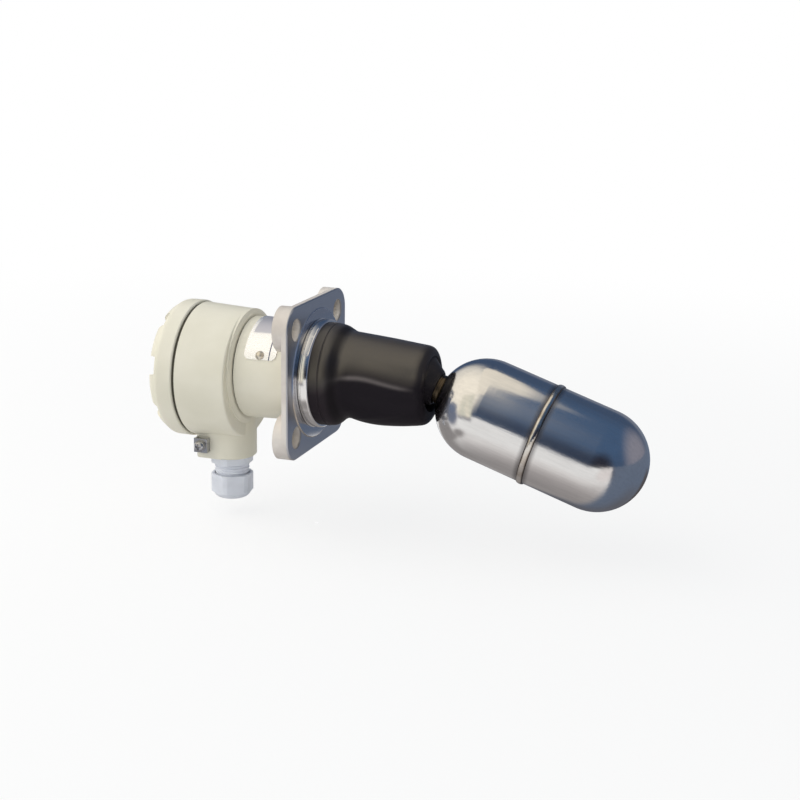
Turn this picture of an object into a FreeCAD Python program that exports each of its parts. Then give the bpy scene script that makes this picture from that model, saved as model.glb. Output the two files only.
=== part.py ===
import FreeCAD, Part

"""Side-mounted magnetic float level switch.

A float swings on a pivot in front of a square flange. A magnet on the inner end of its lever
works through the thin wall of the flange on a second magnet, whose lever trips a snap switch
in the dry housing. Millimetres. The origin is the middle of the flange's front face, +X runs
out to the float, +Z is up, and the float hangs at its lower stop.
"""

import os
import re

import Sketcher

Vector = FreeCAD.Vector
DOC = FreeCAD.newDocument("float_level_switch")
SHEET = DOC.addObject("Spreadsheet::Sheet", "sizes")

# Driving sizes: name, value in millimetres or degrees, what it is
SIZES = [
    ("flange_side", 92, "side of the square flange"),
    ("flange_thick", 3.8, "plate between the corner bosses"),
    ("hole_pitch", 65, "distance between bolt holes, both ways"),
    ("hole_r", 6.75, "bolt hole radius"),
    ("boss_reach", 9.8, "corner bosses reach this far behind the front face"),
    ("face_r", 39.3, "raised sealing face radius"),
    ("face_high", 0.6, "raised sealing face height"),
    ("window_thick", 2.2, "wall that the magnets work through, behind the front face"),
    ("pocket_r", 20, "dry pocket behind that wall"),
    ("hub_wall", 7, "wall of the hub round the pocket"),
    ("hub_reach", 16, "hub reaches this far behind the front face"),
    ("edge_break", 0.5, "chamfer on machined edges"),
    ("lip_r", 31.1, "rubber boot lip radius"),
    ("lip_wall", 3.1, "rubber boot lip wall"),
    ("clamp_wall", 1.7, "boot clamp ring wall"),
    ("clamp_front", 6.9, "front edge of the clamp ring"),
    ("boot_wall", 2.4, "rubber wall of the boot"),
    ("shoulder_x", 15, "end of the boot's full-width base"),
    ("waist_x", 22.5, "waist of the boot, in front of the flange face"),
    ("waist_r", 26.3, "waist radius"),
    ("belly_x", 40, "widest place of the boot's sleeve"),
    ("belly_r", 26.6, "radius there"),
    ("rim_reach", 2.7, "end of the boot's sleeve, beyond the pivot"),
    ("rim_r", 23.2, "radius there"),
    ("nose_reach", 6.3, "flat end of the boot, beyond the pivot"),
    ("nose_r", 14.4, "radius of the boot's nose where it leaves the sleeve"),
    ("nose_bore_r", 11.4, "room round the pivot inside the nose"),
    ("nose_lip", 1.8, "rubber round the socket at the nose's end"),
    ("pivot_x", 69.3, "float pivot, in front of the flange face"),
    ("rest_angle", 18.6, "lever hangs this far below level at its lower stop"),
    ("pin_r", 2, "float pivot pin radius"),
    ("eye_r", 4.2, "bracket eye radius"),
    ("arm_gap", 11.6, "space between the bracket's two arms"),
    ("arm_thick", 2.2, "thickness of an arm"),
    ("arm_base_half", 13, "half height of an arm at the flange"),
    ("arm_stop_half", 14.4, "half height of an arm at the stop pins"),
    ("bracket_r", 27.6, "bracket foot radius"),
    ("bracket_foot", 3, "bracket foot thickness"),
    ("stop_reach", 20, "stop pins, from the pivot along the lever"),
    ("stop_pin_r", 2, "stop pin radius"),
    ("stop_gap", 0.1, "gap between lever and stop pin at the end of its swing"),
    ("screw_circle_r", 23.5, "circle of the bracket screws and of the neck screws"),
    ("rod_r", 3, "float lever rod radius"),
    ("hub_half", 4.9, "half width of the lever's hub"),
    ("lever_hub_r", 5, "lever hub radius"),
    ("bush_wall", 1.1, "wall of the pivot bush"),
    ("run_fit", 0.05, "radial clearance of a turning pin"),
    ("slip_fit", 0.1, "radial clearance of parts that slide together"),
    ("magnet_gap", 3.7, "gap between the level magnet capsule and the flange's face"),
    ("magnet_r", 4, "magnet radius"),
    ("magnet_long", 8, "magnet length"),
    ("holder_wall", 1.2, "wall of the magnet's capsule"),
    ("holder_neck", 3, "length of the capsule that holds the rod"),
    ("lid_thick", 1, "lid of the capsule"),
    ("float_r", 30.3, "float radius"),
    ("float_straight", 70, "length of the float's straight part"),
    ("float_near", 9.15, "tip of the near dome, from the pivot"),
    ("float_wall", 1, "float sheet thickness"),
    ("weld_half", 1.9, "half width of the girth weld"),
    ("weld_high", 0.7, "height of the girth weld"),
    ("backing_half", 6, "half width of the ring behind the girth weld"),
    ("backing_thick", 1.2, "thickness of that ring"),
    ("socket_r", 9, "radius of the float's welded socket"),
    ("socket_start", 5.6, "front face of the socket, from the pivot"),
    ("spigot_r", 6.9, "socket spigot inside the dome"),
    ("spigot_long", 6.4, "that spigot reaches this far behind the dome's tip"),
    ("rod_in", 8, "depth of the lever's rod in the socket"),
    ("groove_at", 3.1, "groove round the socket, from its front face"),
    ("groove_wide", 0.7, "width of that groove"),
    ("groove_deep", 0.5, "depth of that groove"),
    ("seat_deep", 0.3, "recess in the flange's back for the neck's end"),
    ("neck_r_front", 29.9, "neck radius at the flange"),
    ("neck_r_back", 31, "neck radius at the housing"),
    ("neck_back", 41.4, "rear shoulder of the neck, behind the front face"),
    ("web_thick", 3.5, "ring web inside the neck"),
    ("web_r", 20.5, "opening in that web"),
    ("neck_spigot_r", 28.9, "neck spigot radius in the housing"),
    ("neck_spigot_long", 11.2, "neck spigot length"),
    ("spigot_wall", 3.6, "wall of that spigot"),
    ("lock_wall", 1.2, "wall of the lock ring"),
    ("lock_thick", 3, "lock ring thickness"),
    ("oring_sec", 1.8, "section of the housing's round seals"),
    ("house_drop", 4.3, "housing axis lies this far below the flange axis"),
    ("house_front", 44.2, "front wall of the housing, behind the flange face"),
    ("house_back", 75.7, "rear edge of the housing"),
    ("house_r_back", 41.2, "housing radius at its rear edge"),
    ("house_r_front", 39.5, "housing radius at its front edge"),
    ("house_wall", 4, "housing wall"),
    ("collar_proud", 0.15, "collar stands proud of the pot's top by this much"),
    ("collar_lip", 1.5, "front edge of the collar, outside the neck"),
    ("swivel_gap", 0.8, "gap between the neck's shoulder and the collar"),
    ("cover_r", 42.2, "cover radius"),
    ("cover_face", 89.1, "cover's flat face, behind the flange face"),
    ("cover_side", 86, "end of the cover's straight side"),
    ("cover_wall", 3.5, "cover wall"),
    ("cover_skirt", 11, "length of the cover's threaded skirt"),
    ("lug_face", 95, "outer face of the cover's lugs"),
    ("lug_top_r", 35, "radius of the lugs at their outer face"),
    ("lug_foot_r", 40.6, "radius of the lugs at the cover's face"),
    ("lug_inner_r", 29, "inside radius of the lug ring"),
    ("lug_count", 8, "number of lugs"),
    ("notch_half", 5.3, "half width of a notch between two lugs"),
    ("lug_phase", 10, "turn of the lugs above level, near side"),
    ("boss_x", 57.4, "cable boss axis, behind the flange face"),
    ("boss_r", 15.6, "cable boss radius"),
    ("boss_break", 0.9, "chamfer round the boss's lower end"),
    ("boss_end", 57.5, "lower end of the cable boss, below the flange axis"),
    ("gland_thread_r", 10, "gland thread radius"),
    ("gland_entry", 11, "length of gland thread in the boss"),
    ("nut_thread_r", 10.9, "thread between the gland body and its nut"),
    ("nut_thread_deep", 0.8, "depth of that thread"),
    ("gland_flats", 24, "across flats of the gland body and its nut"),
    ("gland_turn", 5, "turn of the gland's flats about its axis"),
    ("gland_corner_r", 13.1, "radius of the turned-down hexagon corners"),
    ("gland_hex", 5, "height of the gland's hexagon"),
    ("gland_gap", 7, "visible thread between the hexagon and the nut"),
    ("nut_straight", 11.5, "straight part of the gland nut"),
    ("nut_dome", 4, "rounded end of the gland nut"),
    ("nut_step_r", 11.7, "radius of the nut's rounded end where it starts"),
    ("nut_end_r", 7.6, "radius of the gland nut's end"),
    ("gland_bore_r", 7, "bore of the gland body"),
    ("finger_short", 2.4, "the gland's fingers end this far above the nut's rounded end"),
    ("seal_r", 8.3, "gland seal radius"),
    ("cable_r", 5, "cable hole in the gland seal"),
    ("seal_long", 11, "length of the gland seal"),
    ("pad_x", 69.2, "ground screw, behind the flange face"),
    ("pad_z", 48.5, "ground screw, below the flange axis"),
    ("pad_rear", 73.7, "rear edge of the ground pad"),
    ("pad_top", 40, "top of the ground pad, below the flange axis"),
    ("pad_deep", 12, "depth of the ground pad, from its face"),
    ("pad_corner", 1.3, "rounded lower corner of the ground pad"),
    ("clamp_side", 8.8, "side of the square ground clamp"),
    ("clamp_deep", 4.6, "depth of the ground clamp"),
    ("clamp_sheet", 1.1, "sheet thickness of the ground clamp"),
    ("ground_r", 2, "ground screw thread radius"),
    ("ground_head_r", 3.5, "ground screw head radius"),
    ("ground_head", 2.6, "height of that head"),
    ("ground_bite", 6, "length of ground screw in the pad"),
    ("washer_thick", 1, "spring washer thickness"),
    ("plate_front", 15.3, "nameplate's front edge, behind the flange face"),
    ("plate_back", 35.6, "nameplate's rear edge"),
    ("plate_angle", 22, "nameplate's lower edge, above level"),
    ("plate_thick", 0.5, "nameplate sheet"),
    ("plate_corner", 3.4, "nameplate corner radius"),
    ("rivet_x", 25.6, "rivets, behind the flange face"),
    ("rivet_angle", 27, "rivets, above level"),
    ("rivet_r", 2.75, "rivet head radius"),
    ("rivet_dome", 1.9, "height of a rivet's dome"),
    ("rivet_shank_r", 1.2, "rivet shank radius"),
    ("small_r", 1.5, "thread radius of the small screws"),
    ("small_head_r", 2.7, "head radius of the small screws"),
    ("small_head", 2, "head height of the small screws"),
    ("small_bite", 5.5, "length of thread that holds a small screw"),
    ("small_room", 0.1, "room round a small screw in its through hole"),
    ("thread_fit", 0.02, "gap round a screw in its thread"),
    ("slot_wide", 0.7, "width of a screwdriver slot"),
    ("slot_deep", 1, "depth of a screwdriver slot"),
    ("key_flats", 2.5, "across flats of the neck screws' sockets"),
    ("chassis_sheet", 1.5, "sheet of the switch chassis"),
    ("chassis_r", 25.2, "chassis foot radius"),
    ("rail_end", 63, "rear end of the chassis rails, behind the flange face"),
    ("rail_low", 18.6, "chassis rails reach this far below the axis"),
    ("rail_high", 6.5, "chassis rails reach this far above the axis"),
    ("switch_width", 10.3, "width of the snap switch"),
    ("switch_long", 27.8, "length of the snap switch"),
    ("switch_high", 15.9, "height of the snap switch"),
    ("switch_top", 3.3, "top of the snap switch, below the axis"),
    ("switch_front", 31, "front of the snap switch, behind the flange face"),
    ("switch_inset", 2.8, "snap switch cross holes, from its edges"),
    ("lever_x", 38, "switch lever pivot, behind the flange face"),
    ("lever_tilt", 5, "switch lever's tilt at rest"),
    ("lever_thick", 3, "switch lever bar thickness"),
    ("lever_front", 25.4, "switch lever bar, in front of its pivot"),
    ("lever_rear", 12, "switch lever bar, behind its pivot"),
    ("lever_pin_r", 1.5, "switch lever pin radius"),
    ("button_back", 8, "switch button, behind the lever pivot"),
    ("button_r", 1.2, "switch button radius"),
    ("block_wide", 30, "terminal block width"),
    ("block_high", 16, "terminal block height"),
    ("block_deep", 12, "terminal block depth"),
    ("block_inset", 2.2, "terminal block fixing holes, from its ends"),
    ("terminal_pitch", 8.5, "distance between terminals"),
    ("well_r", 2.6, "terminal screw well radius"),
    ("well_deep", 5, "terminal screw well depth"),
    ("well_up", 3, "terminal screw wells, above the middle of the block"),
    ("wire_r", 1.8, "terminal wire hole radius"),
    ("fix_r", 1.25, "terminal block screw radius"),
    ("fix_head_r", 2, "terminal block screw head radius"),
    ("fix_head", 1.6, "terminal block screw head height"),
    ("earth_y", 14.5, "inner earth screw, beside the flange axis"),
    ("earth_z", 32.5, "inner earth screw, below the flange axis"),
]

# Sizes worked out from the driving ones
DERIVED = {
    "hole_at": "hole_pitch / 2",
    "flange_corner_r": "(flange_side - hole_pitch) / 2",
    "hub_r": "pocket_r + hub_wall",
    "arm_inner": "arm_gap / 2",
    "arm_outer": "arm_gap / 2 + arm_thick",
    "foot_front": "face_high + bracket_foot",
    "rim_x": "pivot_x + rim_reach",
    "nose_x": "pivot_x + nose_reach",
    "neck_front": "flange_thick - seat_deep",
    "stop_x": "pivot_x - stop_reach * cos(rest_angle) + stop_rise * sin(rest_angle)",
    "stop_z": "stop_reach * sin(rest_angle) + stop_rise * cos(rest_angle)",
    "stop_rise": "rod_r + stop_pin_r + stop_gap",
    "eye_run": "pivot_x - stop_x - 3",
    "eye_turn": "acos(eye_r / sqrt(eye_run ^ 2 + arm_stop_half ^ 2)) - atan(eye_run / arm_stop_half)",
    "bush_r": "pin_r + run_fit + bush_wall",
    "holder_r": "magnet_r + run_fit + holder_wall",
    "magnet_reach": "pivot_x - face_high - magnet_gap - lid_thick - magnet_long / 2",
    "holder_front": "magnet_reach + magnet_long / 2 + lid_thick",
    "holder_back": "magnet_reach - magnet_long / 2 - holder_wall - holder_neck",
    "float_start": "float_near + float_r",
    "float_mid": "float_start + float_straight / 2",
    "float_end": "float_start + float_straight",
    "float_in_r": "float_r - float_wall",
    "web_back": "hub_reach + web_thick",
    "neck_bore_r": "hub_r + slip_fit",
    "spigot_back": "neck_back + neck_spigot_long",
    "spigot_in_r": "neck_spigot_r - spigot_wall",
    "lock_r": "neck_spigot_r + lock_wall",
    "collar_r": "house_r_front - house_drop + collar_proud",
    "collar_nose_r": "neck_r_back + collar_lip",
    "collar_front": "neck_back + swivel_gap",
    "cover_turn": "180 / lug_count + lug_phase",
    "pad_y": "boss_r",
    "pad_end": "boss_end",
    "small_hole_r": "small_r + small_room",
    "house_in_front": "house_front + house_wall",
    "house_bore_r": "house_r_back - house_wall",
    "house_cavity_r": "house_r_front - house_wall + 0.4",
    "cover_rim": "house_back + oring_sec",
    "skirt_r": "house_bore_r - slip_fit",
    "gland_top": "boss_end - gland_entry",
    "hex_end": "boss_end + gland_hex",
    "nut_top": "hex_end + gland_gap",
    "nut_side_end": "nut_top + nut_straight",
    "nut_end": "nut_side_end + nut_dome",
    "finger_end": "nut_side_end - finger_short",
    "seal_top": "finger_end - seal_long + 1",
    "seal_end": "finger_end + 1",
    "slip_end": "seal_end + 0.8",
    "rail_in": "switch_width / 2 + 0.05",
    "foot_back": "web_back + chassis_sheet",
    "button_x": "lever_x + button_back",
    "button_top": "lever_thick / 2 / cos(lever_tilt) - (button_back - button_r) * tan(lever_tilt) + 0.05",
    "block_front": "rail_end + chassis_sheet",
    "block_face": "block_front + block_deep",
    "clamp_out_r": "lip_r + clamp_wall",
}


def fill_sheet():
    """Write the driving sizes into the sheet, one row each."""
    for row, (name, amount, meaning) in enumerate(SIZES, 1):
        SHEET.set(f"A{row}", name)
        SHEET.set(f"B{row}", str(amount))
        SHEET.set(f"C{row}", meaning)
        SHEET.setAlias(f"B{row}", name)
    DOC.recompute()


def formula(text):
    """An expression on the sheet, from one written with plain size names."""
    drivers = {name for name, _, _ in SIZES}

    def swap(found):
        word = found.group(0)
        if word in DERIVED:
            return "(" + formula(DERIVED[word]) + ")"
        return "sizes." + word if word in drivers else word

    return re.sub(r"[a-z]+(?:_[a-z]+)*", swap, str(text))


def amount(text):
    """The number that such an expression gives."""
    return float(SHEET.evalExpression(formula(text)))


def new_body(label, at=None, turn=None):
    """A body with its own label. at holds expressions for its place, turn an axis and an angle."""
    body = DOC.addObject("PartDesign::Body", label)
    body.Label = label
    body.AllowCompound = True
    if turn:
        axis, angle = turn
        body.Placement = FreeCAD.Placement(Vector(), FreeCAD.Rotation(axis, amount(angle)))
        body.setExpression("Placement.Rotation.Angle", formula(angle))
    for letter, text in (at or {}).items():
        body.setExpression(f"Placement.Base.{letter}", formula(text))
    return body


def origin_part(body, role):
    return next(item for item in body.Origin.OriginFeatures if item.Role == role)


def new_sketch(body, name, plane, shift=None, turn=None):
    """A sketch on one of the body's origin planes, shifted or turned in that plane's own axes."""
    sketch = body.newObject("Sketcher::SketchObject", name)
    sketch.AttachmentSupport = [(origin_part(body, plane), "")]
    sketch.MapMode = "FlatFace"
    if turn:
        axis, angle = turn
        sketch.AttachmentOffset = FreeCAD.Placement(Vector(), FreeCAD.Rotation(axis, amount(angle)))
        sketch.setExpression("AttachmentOffset.Rotation.Angle", formula(angle))
    for letter, text in (shift or {}).items():
        sketch.setExpression(f"AttachmentOffset.Base.{letter}", formula(text))
    return sketch


def bind(sketch, kind, places, text):
    """Add a size constraint and bind it to the sheet."""
    index = sketch.addConstraint(Sketcher.Constraint(kind, *places, amount(text)))
    sketch.setExpression(f"Constraints[{index}]", formula(text))


def arc_between(start, end, radius):
    """The short arc that bulges to the right of the way from start to end, so it turns anticlockwise."""
    chord = end - start
    side = Vector(chord.y, -chord.x, 0)
    side.normalize()
    sagitta = radius - (radius * radius - (chord.Length / 2) ** 2) ** 0.5
    return Part.Arc(start, (start + end) * 0.5 + side * sagitta, end)


def outline(body, name, plane, corners, arcs=None, **where):
    """A closed outline. corners are pairs of expressions; arcs gives, for the side that starts at
    a corner, its radius: positive bulges to the right of the way round, negative to the left."""
    sketch = new_sketch(body, name, plane, **where)
    arcs = arcs or {}
    points = [Vector(amount(across), amount(up), 0) for across, up in corners]
    sides = []
    for index, start in enumerate(points):
        end = points[(index + 1) % len(points)]
        if index in arcs:
            size = arcs[index].lstrip("-")
            if size == arcs[index]:
                number = sketch.addGeometry(arc_between(start, end, amount(size)), False)
                sides.append((number, 1, 2, size))
            else:
                number = sketch.addGeometry(arc_between(end, start, amount(size)), False)
                sides.append((number, 2, 1, size))
        else:
            number = sketch.addGeometry(Part.LineSegment(start, end), False)
            sides.append((number, 1, 2, None))
    for index, (number, _, last, _) in enumerate(sides):
        follower, first, _, _ = sides[(index + 1) % len(sides)]
        sketch.addConstraint(Sketcher.Constraint("Coincident", number, last, follower, first))
    for (number, first, _, size), (across, up) in zip(sides, corners):
        bind(sketch, "DistanceX", (-1, 1, number, first), across)
        bind(sketch, "DistanceY", (-1, 1, number, first), up)
    for number, _, _, size in sides:
        if size:
            bind(sketch, "Radius", (number,), size)
    return sketch


def circles(body, name, plane, holes, **where):
    """A sketch of full circles, each given by expressions for its centre and radius."""
    sketch = new_sketch(body, name, plane, **where)
    for across, up, radius in holes:
        round_line = Part.Circle(Vector(amount(across), amount(up), 0), Vector(0, 0, 1), amount(radius))
        number = sketch.addGeometry(round_line, False)
        bind(sketch, "DistanceX", (-1, 1, number, 3), across)
        bind(sketch, "DistanceY", (-1, 1, number, 3), up)
        bind(sketch, "Radius", (number,), radius)
    return sketch


def box_corners(x_low, x_high, y_low, y_high):
    return [(x_low, y_low), (x_high, y_low), (x_high, y_high), (x_low, y_high)]


def hexagon(flats):
    """Corners of a hexagon with two flats square to the first axis."""
    half = f"({flats}) / 2"
    side = f"({half} * tan(30))"
    tall = f"({half} / cos(30))"
    return [(half, f"-{side}"), (half, side), ("0", tall),
            (f"-{half}", side), (f"-{half}", f"-{side}"), ("0", f"-{tall}")]


def volume(body):
    return body.Shape.Volume if not body.Shape.isNull() else 0.0


def settle(body, feature, grows):
    """Make the feature the tip, and make sure that it added or removed material."""
    before = volume(body)
    body.Tip = feature
    DOC.recompute()
    change = volume(body) - before
    if (change <= 0) if grows else (change >= 0):
        raise RuntimeError(f"{body.Label}: {feature.Name} changed the volume by {change:.3f}")
    return feature


def spin(body, sketch, cut=False, axis="H_Axis"):
    """Turn an outline about the sketch's own axis, as material or as a cut."""
    kind = "Groove" if cut else "Revolution"
    feature = body.newObject(f"PartDesign::{kind}", sketch.Name + "_" + kind.lower())
    feature.Profile = sketch
    feature.ReferenceAxis = (sketch, [axis])
    feature.Angle = 360
    return settle(body, feature, not cut)


def raise_up(body, sketch, length, backwards=False, both_ways=False, cut=False):
    """Pad or pocket an outline by a length, along its plane's normal or against it."""
    kind = "Pocket" if cut else "Pad"
    feature = body.newObject(f"PartDesign::{kind}", sketch.Name + "_" + kind.lower())
    feature.Profile = sketch
    feature.setExpression("Length", formula(length))
    if both_ways:
        feature.SideType = "Symmetric"
    feature.Reversed = backwards != cut
    return settle(body, feature, not cut)


def around(body, feature, count, axis="X_Axis", angle="360"):
    """Repeat a feature round one of the body's origin axes."""
    pattern = body.newObject("PartDesign::PolarPattern", feature.Name + "_round")
    pattern.Originals = [feature]
    pattern.Axis = (origin_part(body, axis), [""])
    pattern.setExpression("Angle", formula(angle))
    pattern.setExpression("Occurrences", formula(count))
    return settle(body, pattern, not feature.TypeId.endswith(("Pocket", "Groove")))


def mirrored(body, feature, plane):
    """Repeat a feature on the other side of one of the body's origin planes."""
    copy = body.newObject("PartDesign::Mirrored", feature.Name + "_mirror")
    copy.Originals = [feature]
    copy.MirrorPlane = (origin_part(body, plane), [""])
    return settle(body, copy, not feature.TypeId.endswith(("Pocket", "Groove")))


def tube(body, name, x_low, x_high, r_in, r_out, plane="XZ_Plane", axis="H_Axis"):
    """A plain ring or tube about the sketch's axis."""
    corners = box_corners(x_low, x_high, r_in, r_out)
    if axis == "V_Axis":
        corners = box_corners(r_in, r_out, x_low, x_high)
    return spin(body, outline(body, name, plane, corners), axis=axis)


def dress(body, kind, wanted, size):
    """Chamfer or round the edges that a test picks out."""
    base = body.Tip
    names = [f"Edge{number}" for number, edge in enumerate(base.Shape.Edges, 1) if wanted(edge)]
    feature = body.newObject(f"PartDesign::{kind}", f"{body.Label}_{kind.lower()}")
    feature.Base = (base, names)
    feature.setExpression("Size" if kind == "Chamfer" else "Radius", formula(size))
    body.Tip = feature
    DOC.recompute()
    return feature


# Flange and what is bolted to its wet side

def flange():
    """Square plate with corner bosses, a raised face, and a hub with the dry pocket behind."""
    body = new_body("flange")
    half, bend = "flange_side / 2", "flange_corner_r"
    inner = f"({half} - {bend})"
    corners = [(f"-{inner}", f"-{half}"), (inner, f"-{half}"), (half, f"-{inner}"), (half, inner),
               (inner, half), (f"-{inner}", half), (f"-{half}", inner), (f"-{half}", f"-{inner}")]
    arcs = {1: bend, 3: bend, 5: bend, 7: bend}
    plate = outline(body, "flange_plate", "YZ_Plane", corners, arcs)
    raise_up(body, plate, "flange_thick", backwards=True)
    dress(body, "Chamfer", lambda edge: edge.BoundBox.XMin > -0.01, "edge_break")
    boss = circles(body, "flange_boss", "YZ_Plane", [("hole_at", "hole_at", "flange_corner_r")],
                   shift={"z": "-flange_thick"})
    around(body, raise_up(body, boss, "boss_reach - flange_thick", backwards=True), "4")
    hub = outline(body, "flange_hub", "XZ_Plane", [
        ("-hub_reach", "pocket_r"), ("-hub_reach", "hub_r - edge_break"),
        ("-hub_reach + edge_break", "hub_r"), ("-edge_break - 0.5", "hub_r"),
        ("-edge_break - 0.5", "face_r - edge_break"), ("0", "face_r"),
        ("face_high / 2", "face_r"), ("face_high", "face_r - face_high / 2"),
        ("face_high", "0"), ("-window_thick", "0"), ("-window_thick", "pocket_r")])
    spin(body, hub)
    hole = circles(body, "flange_hole", "YZ_Plane", [("hole_at", "hole_at", "hole_r")],
                   shift={"z": "face_high + 1"})
    around(body, raise_up(body, hole, "boss_reach + face_high + 2", backwards=True, cut=True), "4")
    pocket = outline(body, "flange_pocket", "XZ_Plane", [
        ("-hub_reach - 1", "0"), ("-window_thick", "0"), ("-window_thick", "pocket_r"),
        ("-hub_reach - 1", "pocket_r")])
    spin(body, pocket, cut=True)
    wet = circles(body, "flange_bracket_tap", "YZ_Plane", [("screw_circle_r", "0", "small_r")],
                  shift={"z": "face_high"}, turn=(Vector(0, 0, 1), "45"))
    around(body, raise_up(body, wet, "small_bite + 1", backwards=True, cut=True), "4")
    dry = circles(body, "flange_neck_tap", "YZ_Plane", [("screw_circle_r", "0", "small_r")],
                  shift={"z": "-hub_reach"})
    around(body, raise_up(body, dry, "small_bite + 1", cut=True), "4")
    seat = outline(body, "flange_neck_seat", "XZ_Plane", box_corners(
        "-boss_reach - 1", "-neck_front", "hub_r", "neck_r_front + slip_fit"))
    spin(body, seat, cut=True)
    return body


def boot_clamp_ring():
    """Polished ring that presses the boot's lip onto the raised face."""
    body = new_body("boot_clamp_ring")
    spin(body, outline(body, "clamp_ring_section", "XZ_Plane", [
        ("face_high", "lip_r"), ("clamp_front", "lip_r"), ("clamp_front", "lip_r + 0.4"),
        ("clamp_front - clamp_wall + 0.4", "clamp_out_r"), ("face_high + 2", "clamp_out_r"),
        ("face_high + 1.5", "clamp_out_r - 0.5"), ("face_high + 0.9", "clamp_out_r - 0.5"),
        ("face_high + 0.6", "clamp_out_r + 0.2"), ("face_high", "clamp_out_r + 0.2")],
        {2: "clamp_wall - 0.4"}))
    return body


def pivot_bracket():
    """Fork that carries the float pivot: a round foot, two arms, and holes for pins and screws."""
    body = new_body("pivot_bracket")
    foot = circles(body, "bracket_foot", "YZ_Plane", [("0", "0", "bracket_r")], shift={"z": "face_high"})
    raise_up(body, foot, "bracket_foot")
    arm = outline(body, "bracket_arm", "XZ_Plane", [
        ("foot_front - 1", "-arm_base_half"), ("pivot_x - eye_run", "-arm_stop_half"),
        ("pivot_x + eye_r * sin(eye_turn)", "-eye_r * cos(eye_turn)"),
        ("pivot_x + eye_r * sin(eye_turn)", "eye_r * cos(eye_turn)"),
        ("pivot_x - eye_run", "arm_stop_half"), ("foot_front - 1", "arm_base_half")],
        {2: "eye_r"}, shift={"z": "arm_inner"})
    mirrored(body, raise_up(body, arm, "arm_thick"), "XZ_Plane")
    window = outline(body, "bracket_window", "YZ_Plane",
                     box_corners("-arm_inner", "arm_inner", "-arm_base_half - 1", "arm_base_half + 1"))
    raise_up(body, window, "foot_front + 1", cut=True, backwards=False)
    lighten = outline(body, "bracket_lighten", "XZ_Plane", [
        ("foot_front + 8", "-arm_base_half + 6"), ("stop_x - 12", "-arm_base_half + 6"),
        ("stop_x - 12", "arm_base_half - 6"), ("foot_front + 8", "arm_base_half - 6")],
        {1: "arm_base_half - 5.5", 3: "arm_base_half - 5.5"}, shift={"z": "-arm_outer - 1"})
    raise_up(body, lighten, "2 * arm_outer + 2", cut=True)
    pins = circles(body, "bracket_pins", "XZ_Plane", [
        ("pivot_x", "0", "pin_r"), ("stop_x", "stop_z", "stop_pin_r"), ("stop_x", "-stop_z", "stop_pin_r")],
        shift={"z": "-arm_outer - 1"})
    raise_up(body, pins, "2 * arm_outer + 2", cut=True)
    holes = circles(body, "bracket_screw_hole", "YZ_Plane", [("screw_circle_r", "0", "small_hole_r")],
                    shift={"z": "face_high"}, turn=(Vector(0, 0, 1), "45"))
    around(body, raise_up(body, holes, "bracket_foot", cut=True), "4")
    return body


def bracket_screws():
    """Four cheese-head screws that hold the bracket's foot."""
    body = new_body("bracket_screws", turn=(Vector(1, 0, 0), "45"))
    section = outline(body, "bracket_screw_section", "XZ_Plane", [
        ("face_high - small_bite", "0"), ("face_high - small_bite", "small_r - thread_fit"),
        ("foot_front", "small_r - thread_fit"), ("foot_front", "small_head_r"),
        ("foot_front + small_head - 0.2", "small_head_r"), ("foot_front + small_head", "small_head_r - 0.2"),
        ("foot_front + small_head", "0")], shift={"y": "screw_circle_r"})
    screw = spin(body, section)
    around(body, screw, "4")
    slot = outline(body, "bracket_screw_slot", "XZ_Plane", box_corners(
        "foot_front + small_head - slot_deep", "foot_front + small_head + 1",
        "screw_circle_r - small_head_r - 1", "screw_circle_r + small_head_r + 1"),
        shift={"z": "-slot_wide / 2"})
    around(body, raise_up(body, slot, "slot_wide", cut=True), "4")
    return body


def cross_pins():
    """The float pivot pin with its two clips, and the two stop pins."""
    pin = new_body("pivot_pin", at={"x": "pivot_x"})
    end = "arm_outer + 1.4"
    spin(pin, outline(pin, "pivot_pin_section", "XY_Plane", [
        ("0", f"-({end})"), ("pin_r - 0.3", f"-({end})"), ("pin_r", f"-({end}) + 0.3"),
        ("pin_r", "-arm_outer - 0.8"), ("pin_r - 0.4", "-arm_outer - 0.8"), ("pin_r - 0.4", "-arm_outer"),
        ("pin_r", "-arm_outer"), ("pin_r", "arm_outer"), ("pin_r - 0.4", "arm_outer"),
        ("pin_r - 0.4", "arm_outer + 0.8"), ("pin_r", "arm_outer + 0.8"), ("pin_r", f"{end} - 0.3"),
        ("pin_r - 0.3", end), ("0", end)]), axis="V_Axis")
    clips = new_body("pivot_clips", at={"x": "pivot_x"})
    ring = tube(clips, "clip_section", "arm_outer + 0.05", "arm_outer + 0.75", "pin_r - 0.35",
                "pin_r + 1.6", "XY_Plane", "V_Axis")
    mirrored(clips, ring, "XZ_Plane")
    mouth = outline(clips, "clip_mouth", "XZ_Plane", box_corners("0.5", "pin_r + 2", "-1", "1"),
                    shift={"z": "-arm_outer - 2"})
    raise_up(clips, mouth, "2 * arm_outer + 4", cut=True)
    stops = new_body("stop_pins", at={"x": "stop_x"})
    rod = circles(stops, "stop_pin_section", "XZ_Plane", [("0", "stop_z", "stop_pin_r")],
                  shift={"z": "-arm_outer"})
    mirrored(stops, raise_up(stops, rod, "2 * arm_outer"), "XY_Plane")
    return [pin, clips, stops]


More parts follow.
